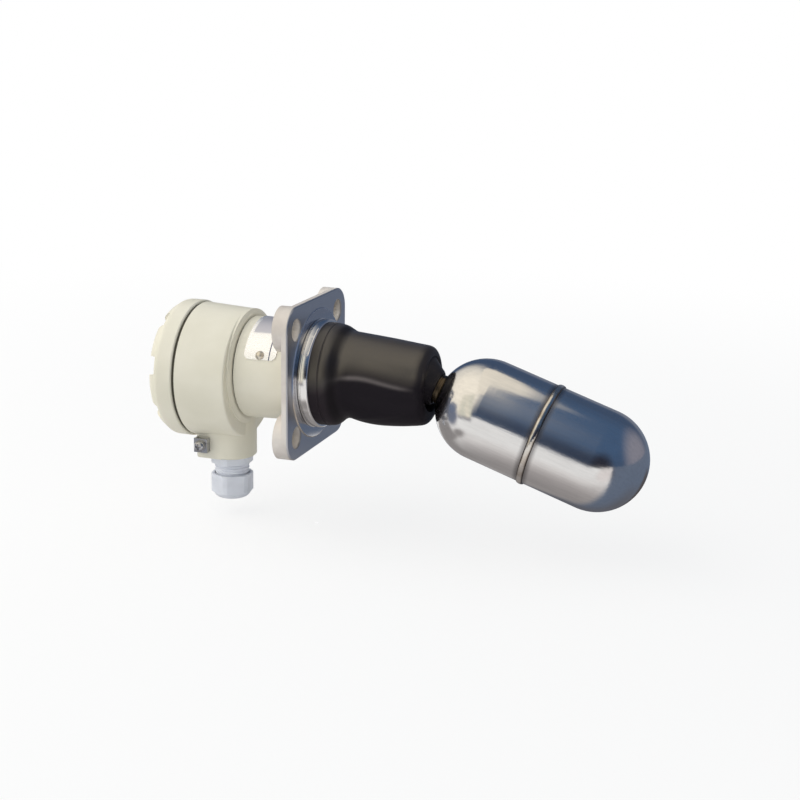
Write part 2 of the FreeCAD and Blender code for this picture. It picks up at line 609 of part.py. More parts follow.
def rubber_boot():
    """Gaiter round the pivot: a wide lip at the flange, a waist, a sleeve and a nose on the lever."""
    body = new_body("rubber_boot")
    outer = [("face_high", "0"), ("face_high", "lip_r - run_fit"), ("shoulder_x - 1.8", "lip_r - run_fit"),
             ("shoulder_x - 1.2", "lip_r - 0.5"), ("shoulder_x - 0.6", "lip_r - 0.2"),
             ("shoulder_x + 1.6", "lip_r - 1"), ("waist_x - 1.5", "waist_r + 0.7"),
             ("waist_x + 2", "waist_r"), ("belly_x - 8", "belly_r - 0.15"), ("belly_x + 8", "belly_r - 0.3"),
             ("rim_x", "rim_r"), ("nose_x", "rim_r - 5"), ("nose_x", "0")]
    spin(body, outline(body, "boot_outside", "XZ_Plane", outer,
                       {5: "-12", 6: "6", 7: "-90", 8: "-120", 9: "-90", 10: "-5.4"}))
    lean = (Vector(0, 0, 1), "-rest_angle")
    nose = outline(body, "boot_nose", "XZ_Plane", [
        ("-2", "0"), ("-2", "nose_r"), ("2", "nose_r"), ("socket_start + 1", "socket_r + nose_lip + 0.8"),
        ("socket_start + 2.2", "socket_r + nose_lip"), ("socket_start + 2.2", "0")],
        shift={"x": "pivot_x"}, turn=lean)
    spin(body, nose)
    inner = [("face_high - 1", "0"), ("face_high - 1", "lip_r - lip_wall"),
             ("shoulder_x", "lip_r - lip_wall"), ("waist_x", "waist_r - boot_wall"),
             ("belly_x", "belly_r - boot_wall"), ("rim_x - 1", "rim_r - boot_wall"),
             ("nose_x - boot_wall", "rim_r - boot_wall - 4.5"), ("nose_x - boot_wall", "0")]
    spin(body, outline(body, "boot_inside", "XZ_Plane", inner), cut=True)
    bore = outline(body, "boot_nose_bore", "XZ_Plane", [
        ("-5", "0"), ("-5", "nose_bore_r"), ("socket_start - 1", "nose_bore_r"),
        ("socket_start - 1", "socket_r + 0.2"), ("socket_start + 6", "socket_r + 0.2"),
        ("socket_start + 6", "0")], shift={"x": "pivot_x"}, turn=lean)
    spin(body, bore, cut=True)
    return body


# Float and its lever, drawn along the lever from its pivot and hung at the rest angle

def lever_body(label):
    return new_body(label, at={"x": "pivot_x"}, turn=(Vector(0, 1, 0), "rest_angle"))


def float_lever():
    """Round rod with a cross hub for the pivot."""
    body = lever_body("float_lever")
    rod_front, rod_back = "socket_start + rod_in", "-(holder_back + holder_neck)"
    spin(body, outline(body, "lever_rod", "XZ_Plane", [
        (rod_back, "0"), (rod_back, "rod_r - 0.3"), (f"{rod_back} + 0.3", "rod_r"),
        (f"{rod_front} - 0.3", "rod_r"), (rod_front, "rod_r - 0.3"), (rod_front, "0")]))
    hub = circles(body, "lever_hub", "XZ_Plane", [("0", "0", "lever_hub_r")], shift={"z": "-hub_half"})
    raise_up(body, hub, "2 * hub_half")
    eye = circles(body, "lever_eye", "XZ_Plane", [("0", "0", "bush_r")], shift={"z": "-hub_half - 1"})
    raise_up(body, eye, "2 * hub_half + 2", cut=True)
    return body


def pivot_wear_parts():
    """Bearing bush in the hub, and a washer on each side of it."""
    bush = lever_body("pivot_bush")
    tube(bush, "bush_section", "-hub_half", "hub_half", "pin_r + run_fit", "bush_r", "XY_Plane", "V_Axis")
    washers = new_body("lever_washers", at={"x": "pivot_x"})
    one = tube(washers, "washer_section", "hub_half + 0.15", "arm_inner - 0.05", "pin_r + run_fit",
               "lever_hub_r - 0.4", "XY_Plane", "V_Axis")
    mirrored(washers, one, "XZ_Plane")
    return [bush, washers]


def magnet_capsule():
    """Cup screwed on the lever's inner end, its magnet and the lid welded over it."""
    cup = lever_body("magnet_holder")
    spin(cup, outline(cup, "holder_section", "XZ_Plane", [
        ("-holder_front", "magnet_r + run_fit"), ("-holder_front", "holder_r"),
        ("-holder_back - holder_neck", "holder_r"), ("-holder_back", "holder_r - 1"),
        ("-holder_back", "rod_r"), ("-holder_back - holder_neck", "rod_r"),
        ("-holder_back - holder_neck", "0"),
        ("-magnet_reach + magnet_long / 2", "0"),
        ("-magnet_reach + magnet_long / 2", "magnet_r + run_fit")]))
    magnet = lever_body("float_magnet")
    spin(magnet, outline(magnet, "float_magnet_section", "XZ_Plane", box_corners(
        "-magnet_reach - magnet_long / 2", "-magnet_reach + magnet_long / 2", "0", "magnet_r")))
    lid = lever_body("magnet_lid")
    spin(lid, outline(lid, "magnet_lid_section", "XZ_Plane", box_corners(
        "-holder_front", "-magnet_reach - magnet_long / 2", "0", "magnet_r + run_fit")))
    return [cup, magnet, lid]


def float_parts():
    """Two drawn half shells, the ring behind their seam, the girth weld and the lever's socket."""
    near = lever_body("float_shell_near")
    slim = "sqrt(float_r ^ 2 - spigot_r ^ 2)"
    slim_in = "sqrt(float_in_r ^ 2 - spigot_r ^ 2)"
    spin(near, outline(near, "near_shell_section", "XZ_Plane", [
        (f"float_start - {slim}", "spigot_r"), ("float_start", "float_r"), ("float_mid", "float_r"),
        ("float_mid", "float_in_r"), ("float_start", "float_in_r"), (f"float_start - {slim_in}", "spigot_r")],
        {0: "-float_r", 4: "float_in_r"}))
    far = lever_body("float_shell_far")
    spin(far, outline(far, "far_shell_section", "XZ_Plane", [
        ("float_mid", "float_in_r"), ("float_mid", "float_r"), ("float_end", "float_r"),
        ("float_end + float_r", "0"), ("float_end + float_in_r", "0"), ("float_end", "float_in_r")],
        {2: "-float_r", 4: "float_in_r"}))
    backing = lever_body("float_backing_ring")
    tube(backing, "backing_section", "float_mid - backing_half", "float_mid + backing_half",
         "float_in_r - backing_thick", "float_in_r - run_fit")
    weld = lever_body("float_girth_weld")
    spin(weld, outline(weld, "weld_section", "XZ_Plane", [
        ("float_mid - weld_half", "float_r"), ("float_mid - weld_half * 0.55", "float_r + weld_high"),
        ("float_mid + weld_half * 0.55", "float_r + weld_high"), ("float_mid + weld_half", "float_r")]))
    socket = lever_body("float_socket")
    seat = "float_r + run_fit"
    foot = f"float_start - sqrt(({seat}) ^ 2 - socket_r ^ 2)"
    neck = f"float_start - sqrt(({seat}) ^ 2 - (spigot_r - run_fit) ^ 2)"
    groove = "socket_start + groove_at"
    spigot_end, bottom = "float_near + spigot_long", "socket_start + rod_in"
    spin(socket, outline(socket, "socket_section", "XZ_Plane", [
        ("socket_start", "rod_r"), ("socket_start", "socket_r - 0.6"), ("socket_start + 0.6", "socket_r"),
        (groove, "socket_r"), (f"{groove} + 0.1", "socket_r - groove_deep"),
        (f"{groove} + groove_wide - 0.1", "socket_r - groove_deep"), (f"{groove} + groove_wide", "socket_r"),
        (foot, "socket_r"), (neck, "spigot_r - run_fit"), (spigot_end, "spigot_r - run_fit"),
        (spigot_end, "0"), (bottom, "0"), (bottom, "rod_r")], {7: seat}))
    return [near, far, backing, weld, socket]


# Neck between the flange and the housing

def neck_slope(back):
    """Radius of the neck's tapered outside at a distance behind the front face."""
    run = "(neck_back - neck_front)"
    return f"(neck_r_front + (neck_r_back - neck_r_front) * (({back}) - neck_front) / {run})"


def neck_tube():
    """Tapered tube with a ring web on the hub, and a grooved spigot in the housing."""
    body = new_body("neck_tube")
    seat = "house_front + 1"
    spin(body, outline(body, "neck_section", "XZ_Plane", [
        ("-neck_front", "neck_bore_r"), ("-neck_front", "neck_r_front"), ("-neck_back", "neck_r_back"),
        ("-neck_back", "neck_spigot_r"), (f"-({seat})", "neck_spigot_r"),
        (f"-({seat})", "neck_spigot_r - 1.5"), (f"-({seat}) - oring_sec - 0.3", "neck_spigot_r - 1.5"),
        (f"-({seat}) - oring_sec - 0.3", "neck_spigot_r"), ("-spigot_back", "neck_spigot_r"),
        ("-spigot_back", "spigot_in_r"), ("-neck_back + 2", "spigot_in_r"),
        ("-neck_back + 5", "neck_bore_r"), ("-web_back", "neck_bore_r"), ("-web_back", "web_r"),
        ("-hub_reach", "web_r"), ("-hub_reach", "neck_bore_r")]))
    holes = circles(body, "neck_web_hole", "YZ_Plane", [("screw_circle_r", "0", "small_hole_r")],
                    shift={"z": "-hub_reach"})
    around(body, raise_up(body, holes, "web_thick + 1", backwards=True, cut=True), "4")
    for side, angle in (("near", "rivet_angle - 90"), ("far", "90 - rivet_angle")):
        drill = circles(body, f"neck_rivet_{side}", "XY_Plane", [("-rivet_x", "0", "rivet_shank_r")],
                        turn=(Vector(1, 0, 0), f"-({angle})"))
        pocket = body.newObject("PartDesign::Pocket", f"neck_rivet_{side}_pocket")
        pocket.Profile = drill
        pocket.setExpression("Length", formula("neck_r_back + 2"))
        pocket.Reversed = True
        settle(body, pocket, False)
    return body


def neck_fasteners():
    """Four screws into the hub, the seal in the spigot's groove and the lock ring inside the housing."""
    screws = new_body("neck_screws")
    head = "-(foot_back)"
    top = f"{head} - 2 * small_r"
    section = outline(screws, "neck_screw_section", "XZ_Plane", [
        (f"{top}", "0"), (f"{top}", "small_head_r - 0.3"), (f"{top} + 0.3", "small_head_r"),
        (head, "small_head_r"), (head, "small_r - thread_fit"),
        ("-hub_reach + small_bite", "small_r - thread_fit"), ("-hub_reach + small_bite", "0")],
        shift={"y": "screw_circle_r"})
    around(screws, spin(screws, section), "4")
    socket = outline(screws, "neck_screw_key", "YZ_Plane", hexagon("key_flats"),
                     shift={"y": "screw_circle_r", "z": top})
    around(screws, raise_up(screws, socket, "small_r", cut=True), "4")
    ring = new_body("neck_oring")
    middle = "-(house_front + 1 + oring_sec / 2 + 0.15)"
    section = circles(ring, "neck_oring_section", "XZ_Plane",
                      [(middle, "neck_spigot_r - 0.725", "0.74")])
    spin(ring, section)
    lock = new_body("neck_lock_ring")
    near_face = "-(house_in_front)"
    tube(lock, "lock_ring_section", f"{near_face} - lock_thick", near_face, "neck_spigot_r + run_fit",
         "lock_r")
    notch = outline(lock, "lock_ring_notch", "XZ_Plane", box_corners(
        f"{near_face} - lock_thick - 1", f"{near_face} - 1", "lock_r - 1", "lock_r + 1"),
        shift={"z": "-1.5"})
    around(lock, raise_up(lock, notch, "3", cut=True), "6")
    return [screws, ring, lock]


def nameplate():
    """Bare curved plate on the neck, held by two dome-headed rivets."""
    body = new_body("nameplate")
    low = "neck_r_back * sin(plate_angle)"
    bend = "plate_corner"
    top = "neck_r_back + 4"
    sheet = outline(body, "nameplate_outline", "XZ_Plane", [
        (f"-plate_back + {bend}", low), (f"-plate_front - {bend}", low), ("-plate_front", f"{low} + {bend}"),
        ("-plate_front", top), ("-plate_back", top), ("-plate_back", f"{low} + {bend}")],
        {1: bend, 5: bend})
    raise_up(body, sheet, "2 * neck_r_back + 6", both_ways=True)
    ends = ("-plate_back - 3", "-plate_front + 3")
    radii = [neck_slope("plate_back + 3"), neck_slope("plate_front - 3")]
    spin(body, outline(body, "nameplate_under", "XZ_Plane", [
        (ends[0], "0"), (ends[1], "0"), (ends[1], f"{radii[1]} + 0.02"), (ends[0], f"{radii[0]} + 0.02")]),
        cut=True)
    spin(body, outline(body, "nameplate_over", "XZ_Plane", [
        (ends[0], f"{radii[0]} + plate_thick"), (ends[1], f"{radii[1]} + plate_thick"),
        (ends[1], "neck_r_back + 30"), (ends[0], "neck_r_back + 30")]), cut=True)
    for side, angle in (("near", "rivet_angle - 90"), ("far", "90 - rivet_angle")):
        drill = circles(body, f"plate_rivet_{side}", "XY_Plane", [("-rivet_x", "0", "rivet_shank_r + 0.05")],
                        turn=(Vector(1, 0, 0), f"-({angle})"))
        pocket = body.newObject("PartDesign::Pocket", f"plate_rivet_{side}_pocket")
        pocket.Profile = drill
        pocket.setExpression("Length", formula("neck_r_back + 4"))
        pocket.Reversed = True
        settle(body, pocket, False)
    rivets = new_body("nameplate_rivets", turn=(Vector(1, 0, 0), "90 - rivet_angle"))
    rise = "rivet_r * abs(neck_r_back - neck_r_front) / (neck_back - neck_front)"
    seat = f"({neck_slope('rivet_x')} + {rise} + plate_thick + 0.02)"
    section = outline(rivets, "rivet_section", "XZ_Plane", [
        ("0", f"{seat} - 3"), ("rivet_shank_r - 0.03", f"{seat} - 3"), ("rivet_shank_r - 0.03", seat),
        ("rivet_r", seat), ("0", f"{seat} + rivet_dome")],
        {3: "(rivet_r ^ 2 + rivet_dome ^ 2) / (2 * rivet_dome)"}, shift={"x": "-rivet_x"})
    around(rivets, spin(rivets, section, axis="V_Axis"), "2", angle="2 * (rivet_angle - 90)")
    return [body, rivets]


# Housing, cover and ground terminal

def housing_body():
    """Cast pot with a collar for the neck, a cable boss and the pad of the ground terminal."""
    body = new_body("housing_body")
    drop = {"y": "-house_drop"}
    spin(body, outline(body, "pot_outside", "XZ_Plane", [
        ("-house_back", "0"), ("-house_back", "house_r_back"), ("-house_front - 1.2", "house_r_front"),
        ("-house_front", "house_r_front - 1.2"), ("-house_front", "0")], {2: "-1.2"}, shift=drop))
    spin(body, outline(body, "pot_collar", "XZ_Plane", [
        ("-house_front - 3", "0"), ("-house_front - 3", "collar_r"), ("-collar_front - 1", "collar_r"),
        ("-collar_front", "collar_nose_r"), ("-collar_front", "0")]))
    spin(body, outline(body, "cable_boss", "XZ_Plane", [
        ("0", "-boss_end"), ("boss_r - boss_break", "-boss_end"), ("boss_r", "-boss_end + boss_break"),
        ("boss_r", "-house_drop - 20"), ("0", "-house_drop - 20")], shift={"x": "-boss_x"}), axis="V_Axis")
    pad = outline(body, "ground_pad", "XZ_Plane", [
        ("-pad_rear + pad_corner", "-pad_end"), ("-boss_x", "-pad_end"), ("-boss_x", "-pad_top"),
        ("-pad_rear", "-pad_top"), ("-pad_rear", "-pad_end + pad_corner")], {4: "pad_corner"},
        shift={"z": "pad_y - pad_deep"})
    raise_up(body, pad, "pad_deep")
    spin(body, outline(body, "pot_inside", "XZ_Plane", [
        ("-house_back - 1", "0"), ("-house_in_front", "0"), ("-house_in_front", "house_cavity_r"),
        ("-house_back + cover_skirt + 3", "house_cavity_r"),
        ("-house_back + cover_skirt + 2", "house_bore_r"), ("-house_back - 1", "house_bore_r")],
        shift=drop), cut=True)
    bore = circles(body, "neck_bore", "YZ_Plane", [("0", "0", "neck_spigot_r + run_fit")],
                   shift={"z": "-neck_back + 1"})
    raise_up(body, bore, "house_in_front - neck_back + 2", backwards=True, cut=True)
    thread = circles(body, "cable_thread", "XY_Plane", [("-boss_x", "0", "gland_thread_r + run_fit")],
                     shift={"z": "-boss_end - 1"})
    raise_up(body, thread, "boss_end - house_drop - 18", cut=True)
    tap = circles(body, "ground_tap", "XZ_Plane", [("-pad_x", "-pad_z", "ground_r")], shift={"z": "pad_y"})
    raise_up(body, tap, "ground_bite + 1", backwards=True, cut=True)
    earth = circles(body, "earth_tap", "YZ_Plane", [("earth_y", "-earth_z", "small_r")],
                    shift={"z": "-house_in_front"})
    raise_up(body, earth, "house_wall / 2 + 0.6", cut=True)
    return body


def cover():
    """Screw-on cover: a rim, a domed edge, a threaded skirt and a ring of lugs for a bar."""
    body = new_body("cover", at={"z": "-house_drop"}, turn=(Vector(1, 0, 0), "cover_turn"))
    spin(body, outline(body, "cover_section", "XZ_Plane", [
        ("-cover_face", "0"), ("-cover_face", "cover_r - 1.2"), ("-cover_side", "cover_r"),
        ("-cover_rim - 0.6", "cover_r"), ("-cover_rim", "cover_r - 0.6"), ("-cover_rim", "skirt_r"),
        ("-cover_rim + cover_skirt + oring_sec - 1", "skirt_r"),
        ("-cover_rim + cover_skirt + oring_sec", "skirt_r - 1"),
        ("-cover_rim + cover_skirt + oring_sec", "skirt_r - cover_wall"),
        ("-cover_face + cover_wall + 3", "skirt_r - cover_wall"),
        ("-cover_face + cover_wall", "skirt_r - cover_wall - 3"), ("-cover_face + cover_wall", "0")],
        {1: "-5"}))
    spin(body, outline(body, "lug_ring", "XZ_Plane", [
        ("-cover_face + 1", "lug_inner_r"), ("-cover_face + 1", "lug_foot_r"), ("-cover_face", "lug_foot_r"),
        ("-lug_face", "lug_top_r"), ("-lug_face", "lug_inner_r + 1"), ("-lug_face + 1", "lug_inner_r")],
        {2: "9"}))
    notch = outline(body, "lug_notch", "XY_Plane", [
        ("-lug_face - 1", "-notch_half - 0.6"), ("-cover_face - 0.8", "-notch_half"),
        ("-cover_face", "-notch_half + 0.8"), ("-cover_face", "notch_half - 0.8"),
        ("-cover_face - 0.8", "notch_half"), ("-lug_face - 1", "notch_half + 0.6")],
        {1: "0.8", 3: "0.8"}, shift={"z": "lug_inner_r - 6"})
    cut = raise_up(body, notch, "20", cut=True)
    around(body, cut, "lug_count")
    seal = new_body("cover_seal", at={"z": "-house_drop"})
    tube(seal, "cover_seal_section", "-cover_rim + 0.02", "-house_back - 0.02", "skirt_r + slip_fit",
         "house_r_back - 0.6")
    return [body, seal]


def ground_terminal():
    """Square saddle clamp, spring washer and cross-head screw on the pad."""
    place = {"x": "-pad_x", "y": "-pad_y", "z": "-pad_z"}
    clamp = new_body("ground_clamp", at=place)
    half, deep, sheet, clear = "clamp_side / 2", "clamp_deep", "clamp_sheet", "-thread_fit"
    channel = outline(clamp, "clamp_channel", "XY_Plane", [
        (f"-{half}", clear), (f"-{half}", f"-{deep}"), (half, f"-{deep}"), (half, clear),
        (f"{half} - {sheet}", clear), (f"{half} - {sheet}", f"-{deep} + {sheet}"),
        (f"-{half} + {sheet}", f"-{deep} + {sheet}"), (f"-{half} + {sheet}", clear)])
    raise_up(clamp, channel, "clamp_side", both_ways=True)
    hole = circles(clamp, "clamp_hole", "XZ_Plane", [("0", "0", "ground_r + 1.5 * small_room")])
    raise_up(clamp, hole, "clamp_deep + 1", cut=True, backwards=False)
    washer = new_body("ground_spring_washer", at=place)
    seat = f"-{deep} - washer_thick"
    tube(washer, "ground_washer_section", seat, f"-{deep}", "ground_r + small_room", "ground_head_r - 0.1",
         "XY_Plane", "V_Axis")
    screw = new_body("ground_screw", at=place)
    spin(screw, outline(screw, "ground_screw_section", "XY_Plane", [
        ("0", f"{seat} - ground_head"), ("ground_head_r - 1.9", f"{seat} - ground_head + 0.1"),
        ("ground_head_r - 0.3", f"{seat} - ground_head + 1.1"), ("ground_head_r", seat),
        ("ground_r - thread_fit", seat), ("ground_r - thread_fit", "ground_bite"), ("0", "ground_bite")],
        {1: "3", 2: "2.5"}), axis="V_Axis")
    wing, slit = "ground_head_r * 0.54", "slot_wide * 0.57"
    for number, bar in enumerate((box_corners(f"-{wing}", wing, f"-{slit}", slit),
                                  box_corners(f"-{slit}", slit, f"-{wing}", wing))):
        cross = outline(screw, f"ground_screw_cross_{number}", "XZ_Plane", bar,
                        shift={"z": f"-({seat}) + ground_head - 1.4"})
        raise_up(screw, cross, "2", cut=True, backwards=False)
    return [clamp, washer, screw]


# Cable gland, drawn down the axis of the boss

def gland():
    """Gland body, its rubber seal, the slip ring and the nut that squeezes them."""
    place = {"x": "-boss_x"}
    body = new_body("gland_body", at=place)
    shank = [("gland_bore_r", "-gland_top"), ("gland_thread_r", "-gland_top"),
             ("gland_thread_r", "-boss_end"), ("gland_corner_r", "-boss_end"),
             ("gland_corner_r", "-hex_end"), ("nut_thread_r - nut_thread_deep", "-hex_end"),
             ("nut_thread_r - nut_thread_deep", "-finger_end + 1.5"),
             ("nut_thread_r - nut_thread_deep - 0.6", "-finger_end"),
             ("seal_r + slip_fit", "-finger_end"), ("seal_r + slip_fit", "-seal_top"),
             ("gland_bore_r", "-seal_top")]
    spin(body, outline(body, "gland_section", "XZ_Plane", shank), axis="V_Axis")
    trim_to_hexagon(body, "gland_hexagon", "hex_end", "gland_hex")
    seal = new_body("gland_seal", at=place)
    tube(seal, "gland_seal_section", "-seal_end", "-seal_top - 0.05", "cable_r", "seal_r",
         "XZ_Plane", "V_Axis")
    slip = new_body("gland_slip_ring", at=place)
    tube(slip, "gland_slip_section", "-slip_end", "-seal_end", "cable_r + 1.2", "seal_r + 0.3",
         "XZ_Plane", "V_Axis")
    nut = new_body("gland_nut", at=place)
    spin(nut, outline(nut, "gland_nut_section", "XZ_Plane", [
        ("nut_thread_r + slip_fit", "-nut_top"), ("gland_corner_r - 0.6", "-nut_top"),
        ("gland_corner_r", "-nut_top - 0.6"), ("gland_corner_r", "-nut_side_end"),
        ("nut_step_r", "-nut_side_end - 0.6"), ("nut_end_r", "-nut_end"), ("cable_r + 1.6", "-nut_end"),
        ("cable_r + 1.6", "-slip_end - 0.02"), ("nut_thread_r + slip_fit", "-slip_end - 0.02")],
        {4: "-4.6"}), axis="V_Axis")
    trim_to_hexagon(nut, "nut_hexagon", "nut_end + 1", "nut_end + 2 - nut_top")
    return [body, seal, slip, nut]


def trim_to_hexagon(body, name, low, height):
    """Cut six flats into a turned piece, leaving its corners round."""
    wide = "(gland_corner_r + 3)"
    flat = outline(body, name, "XY_Plane", box_corners(
        "gland_flats / 2", wide, f"-{wide}", wide), shift={"z": f"-({low})"},
        turn=(Vector(0, 0, 1), "gland_turn"))
    around(body, raise_up(body, flat, height, cut=True), "6", axis="Z_Axis")


# Dry-side mechanism

def switch_chassis():
    """Foot on the neck's web, two rails and the rear plate for the terminals."""
    body = new_body("switch_chassis")
    foot = circles(body, "chassis_foot", "YZ_Plane", [("0", "0", "chassis_r")], shift={"z": "-web_back"})
    raise_up(body, foot, "chassis_sheet", backwards=True)
    rail = outline(body, "chassis_rail", "XZ_Plane", [
        ("-foot_back + 0.5", "-14"), ("-foot_back + 0.5", "14"), ("-foot_back - 4", "rail_high"),
        ("-rail_end - 0.5", "rail_high"), ("-rail_end - 0.5", "-rail_low"), ("-switch_front", "-rail_low")],
        shift={"z": "rail_in"})
    mirrored(body, raise_up(body, rail, "chassis_sheet"), "XZ_Plane")
    rear = outline(body, "chassis_rear", "YZ_Plane", box_corners(
        "-block_wide / 2", "block_wide / 2", "-rail_low", "rail_high"), shift={"z": "-rail_end"})
    raise_up(body, rear, "chassis_sheet", backwards=True)
    window = outline(body, "chassis_window", "YZ_Plane", box_corners(
        "-rail_in", "rail_in", "-11", "11"), shift={"z": "-web_back + 1"})
    raise_up(body, window, "chassis_sheet + 2", backwards=True, cut=True)
    screw = circles(body, "chassis_screw_hole", "YZ_Plane", [("screw_circle_r", "0", "small_hole_r")],
                    shift={"z": "-web_back"})
    around(body, raise_up(body, screw, "chassis_sheet", backwards=True, cut=True), "4")
    across = circles(body, "chassis_cross_holes", "XZ_Plane",
                     [("-lever_x", "0", "lever_pin_r")] + switch_holes("small_r + run_fit"),
                     shift={"z": "-rail_in - 3"})
    raise_up(body, across, "2 * rail_in + 6", cut=True)
    tail = circles(body, "chassis_block_holes", "YZ_Plane", block_holes("fix_r"),
                   shift={"z": "-rail_end + 1"})
    raise_up(body, tail, "chassis_sheet + 2", backwards=True, cut=True)
    return body


def switch_holes(radius):
    """The snap switch's two cross holes, at opposite corners."""
    low = "-switch_top - switch_high + switch_inset"
    return [("-switch_front - switch_inset", low, radius),
            ("-switch_front - switch_long + switch_inset", low, radius)]


def block_holes(radius):
    """The terminal block's two fixing holes."""
    return [("block_wide / 2 - block_inset", "-house_drop", radius),
            ("block_inset - block_wide / 2", "-house_drop", radius)]


def switch_lever():
    """Bar with a magnet cup in front, and the cross tube that turns on its pin."""
    place = {"x": "-lever_x"}
    turn = (Vector(0, 1, 0), "lever_tilt")
    body = new_body("switch_lever", at=place, turn=turn)
    bar = outline(body, "switch_bar", "XZ_Plane", box_corners(
        "-lever_rear", "lever_front + 1", "-lever_thick / 2", "lever_thick / 2"), shift={"z": "-3.5"})
    raise_up(body, bar, "7")
    cross = circles(body, "switch_cross_tube", "XZ_Plane", [("0", "0", "lever_pin_r + 1.4")],
                    shift={"z": "-rail_in + 0.15"})
    raise_up(body, cross, "2 * rail_in - 0.3")
    cup_end = "lever_front + magnet_long + 1"
    spin(body, outline(body, "switch_cup", "XZ_Plane", [
        ("lever_front", "0"), ("lever_front + 1", "0"), ("lever_front + 1", "magnet_r + run_fit"),
        (cup_end, "magnet_r + run_fit"), (cup_end, "magnet_r + 1"), ("lever_front", "magnet_r + 1")]))
    eye = circles(body, "switch_eye", "XZ_Plane", [("0", "0", "lever_pin_r + run_fit")],
                  shift={"z": "-rail_in"})
    raise_up(body, eye, "2 * rail_in", cut=True)
    magnet = new_body("switch_magnet", at=place, turn=turn)
    spin(magnet, outline(magnet, "switch_magnet_section", "XZ_Plane", box_corners(
        "lever_front + 1", cup_end, "0", "magnet_r")))
    pin = new_body("lever_pin", at=place)
    length = "rail_in + chassis_sheet + 0.8"
    spin(pin, outline(pin, "lever_pin_section", "XY_Plane", box_corners(
        "0", "lever_pin_r", f"-({length})", length)), axis="V_Axis")
    return [body, magnet, pin]


def snap_switch():
    """Moulded switch case with its button, and the two screws and nuts across it."""
    case = new_body("microswitch_case")
    front, rear = "-switch_front", "-switch_front - switch_long"
    high, low = "-switch_top", "-switch_top - switch_high"
    shell = outline(case, "switch_case", "XZ_Plane", box_corners(rear, front, low, high),
                    shift={"z": "-switch_width / 2"})
    raise_up(case, shell, "switch_width")
    legs = outline(case, "switch_tabs", "YZ_Plane", box_corners("-3", "3", f"{low} + 4", f"{low} + 4.8"),
                   shift={"z": rear})
    raise_up(case, legs, "3.8", backwards=True)
    across = circles(case, "switch_case_holes", "XZ_Plane", switch_holes("small_r + run_fit"),
                     shift={"z": "-switch_width / 2 - 1"})
    raise_up(case, across, "switch_width + 2", cut=True)
    well = circles(case, "switch_button_well", "XY_Plane", [("-button_x", "0", "button_r + run_fit")],
                   shift={"z": high})
    raise_up(case, well, "4.5", backwards=True, cut=True)
    button = new_body("microswitch_button", at={"x": "-button_x"})
    spin(button, outline(button, "switch_button_section", "XZ_Plane", [
        ("0", "-switch_top - 2"), ("button_r", "-switch_top - 2"), ("button_r", "-button_top - 0.3"),
        ("button_r - 0.3", "-button_top"), ("0", "-button_top")]), axis="V_Axis")
    screws = new_body("microswitch_screws")
    reach = "rail_in + chassis_sheet"
    shank = circles(screws, "switch_screw_shank", "XZ_Plane", switch_holes("small_r"),
                    shift={"z": f"-({reach}) - small_head - 0.6"})
    raise_up(screws, shank, f"2 * ({reach}) + small_head + 0.6")
    heads = circles(screws, "switch_screw_head", "XZ_Plane", switch_holes("small_head_r"),
                    shift={"z": reach})
    raise_up(screws, heads, "small_head")
    nuts = new_body("microswitch_nuts")
    low_face = f"-({reach}) - small_head"
    blank = circles(nuts, "switch_nut_blank", "XZ_Plane", switch_holes("small_head_r + 0.2"),
                    shift={"z": low_face})
    raise_up(nuts, blank, "small_head")
    bore = circles(nuts, "switch_nut_bore", "XZ_Plane", switch_holes("small_r + thread_fit"),
                   shift={"z": f"{low_face} - 1"})
    raise_up(nuts, bore, "small_head + 2", cut=True)
    return [case, button, screws, nuts]


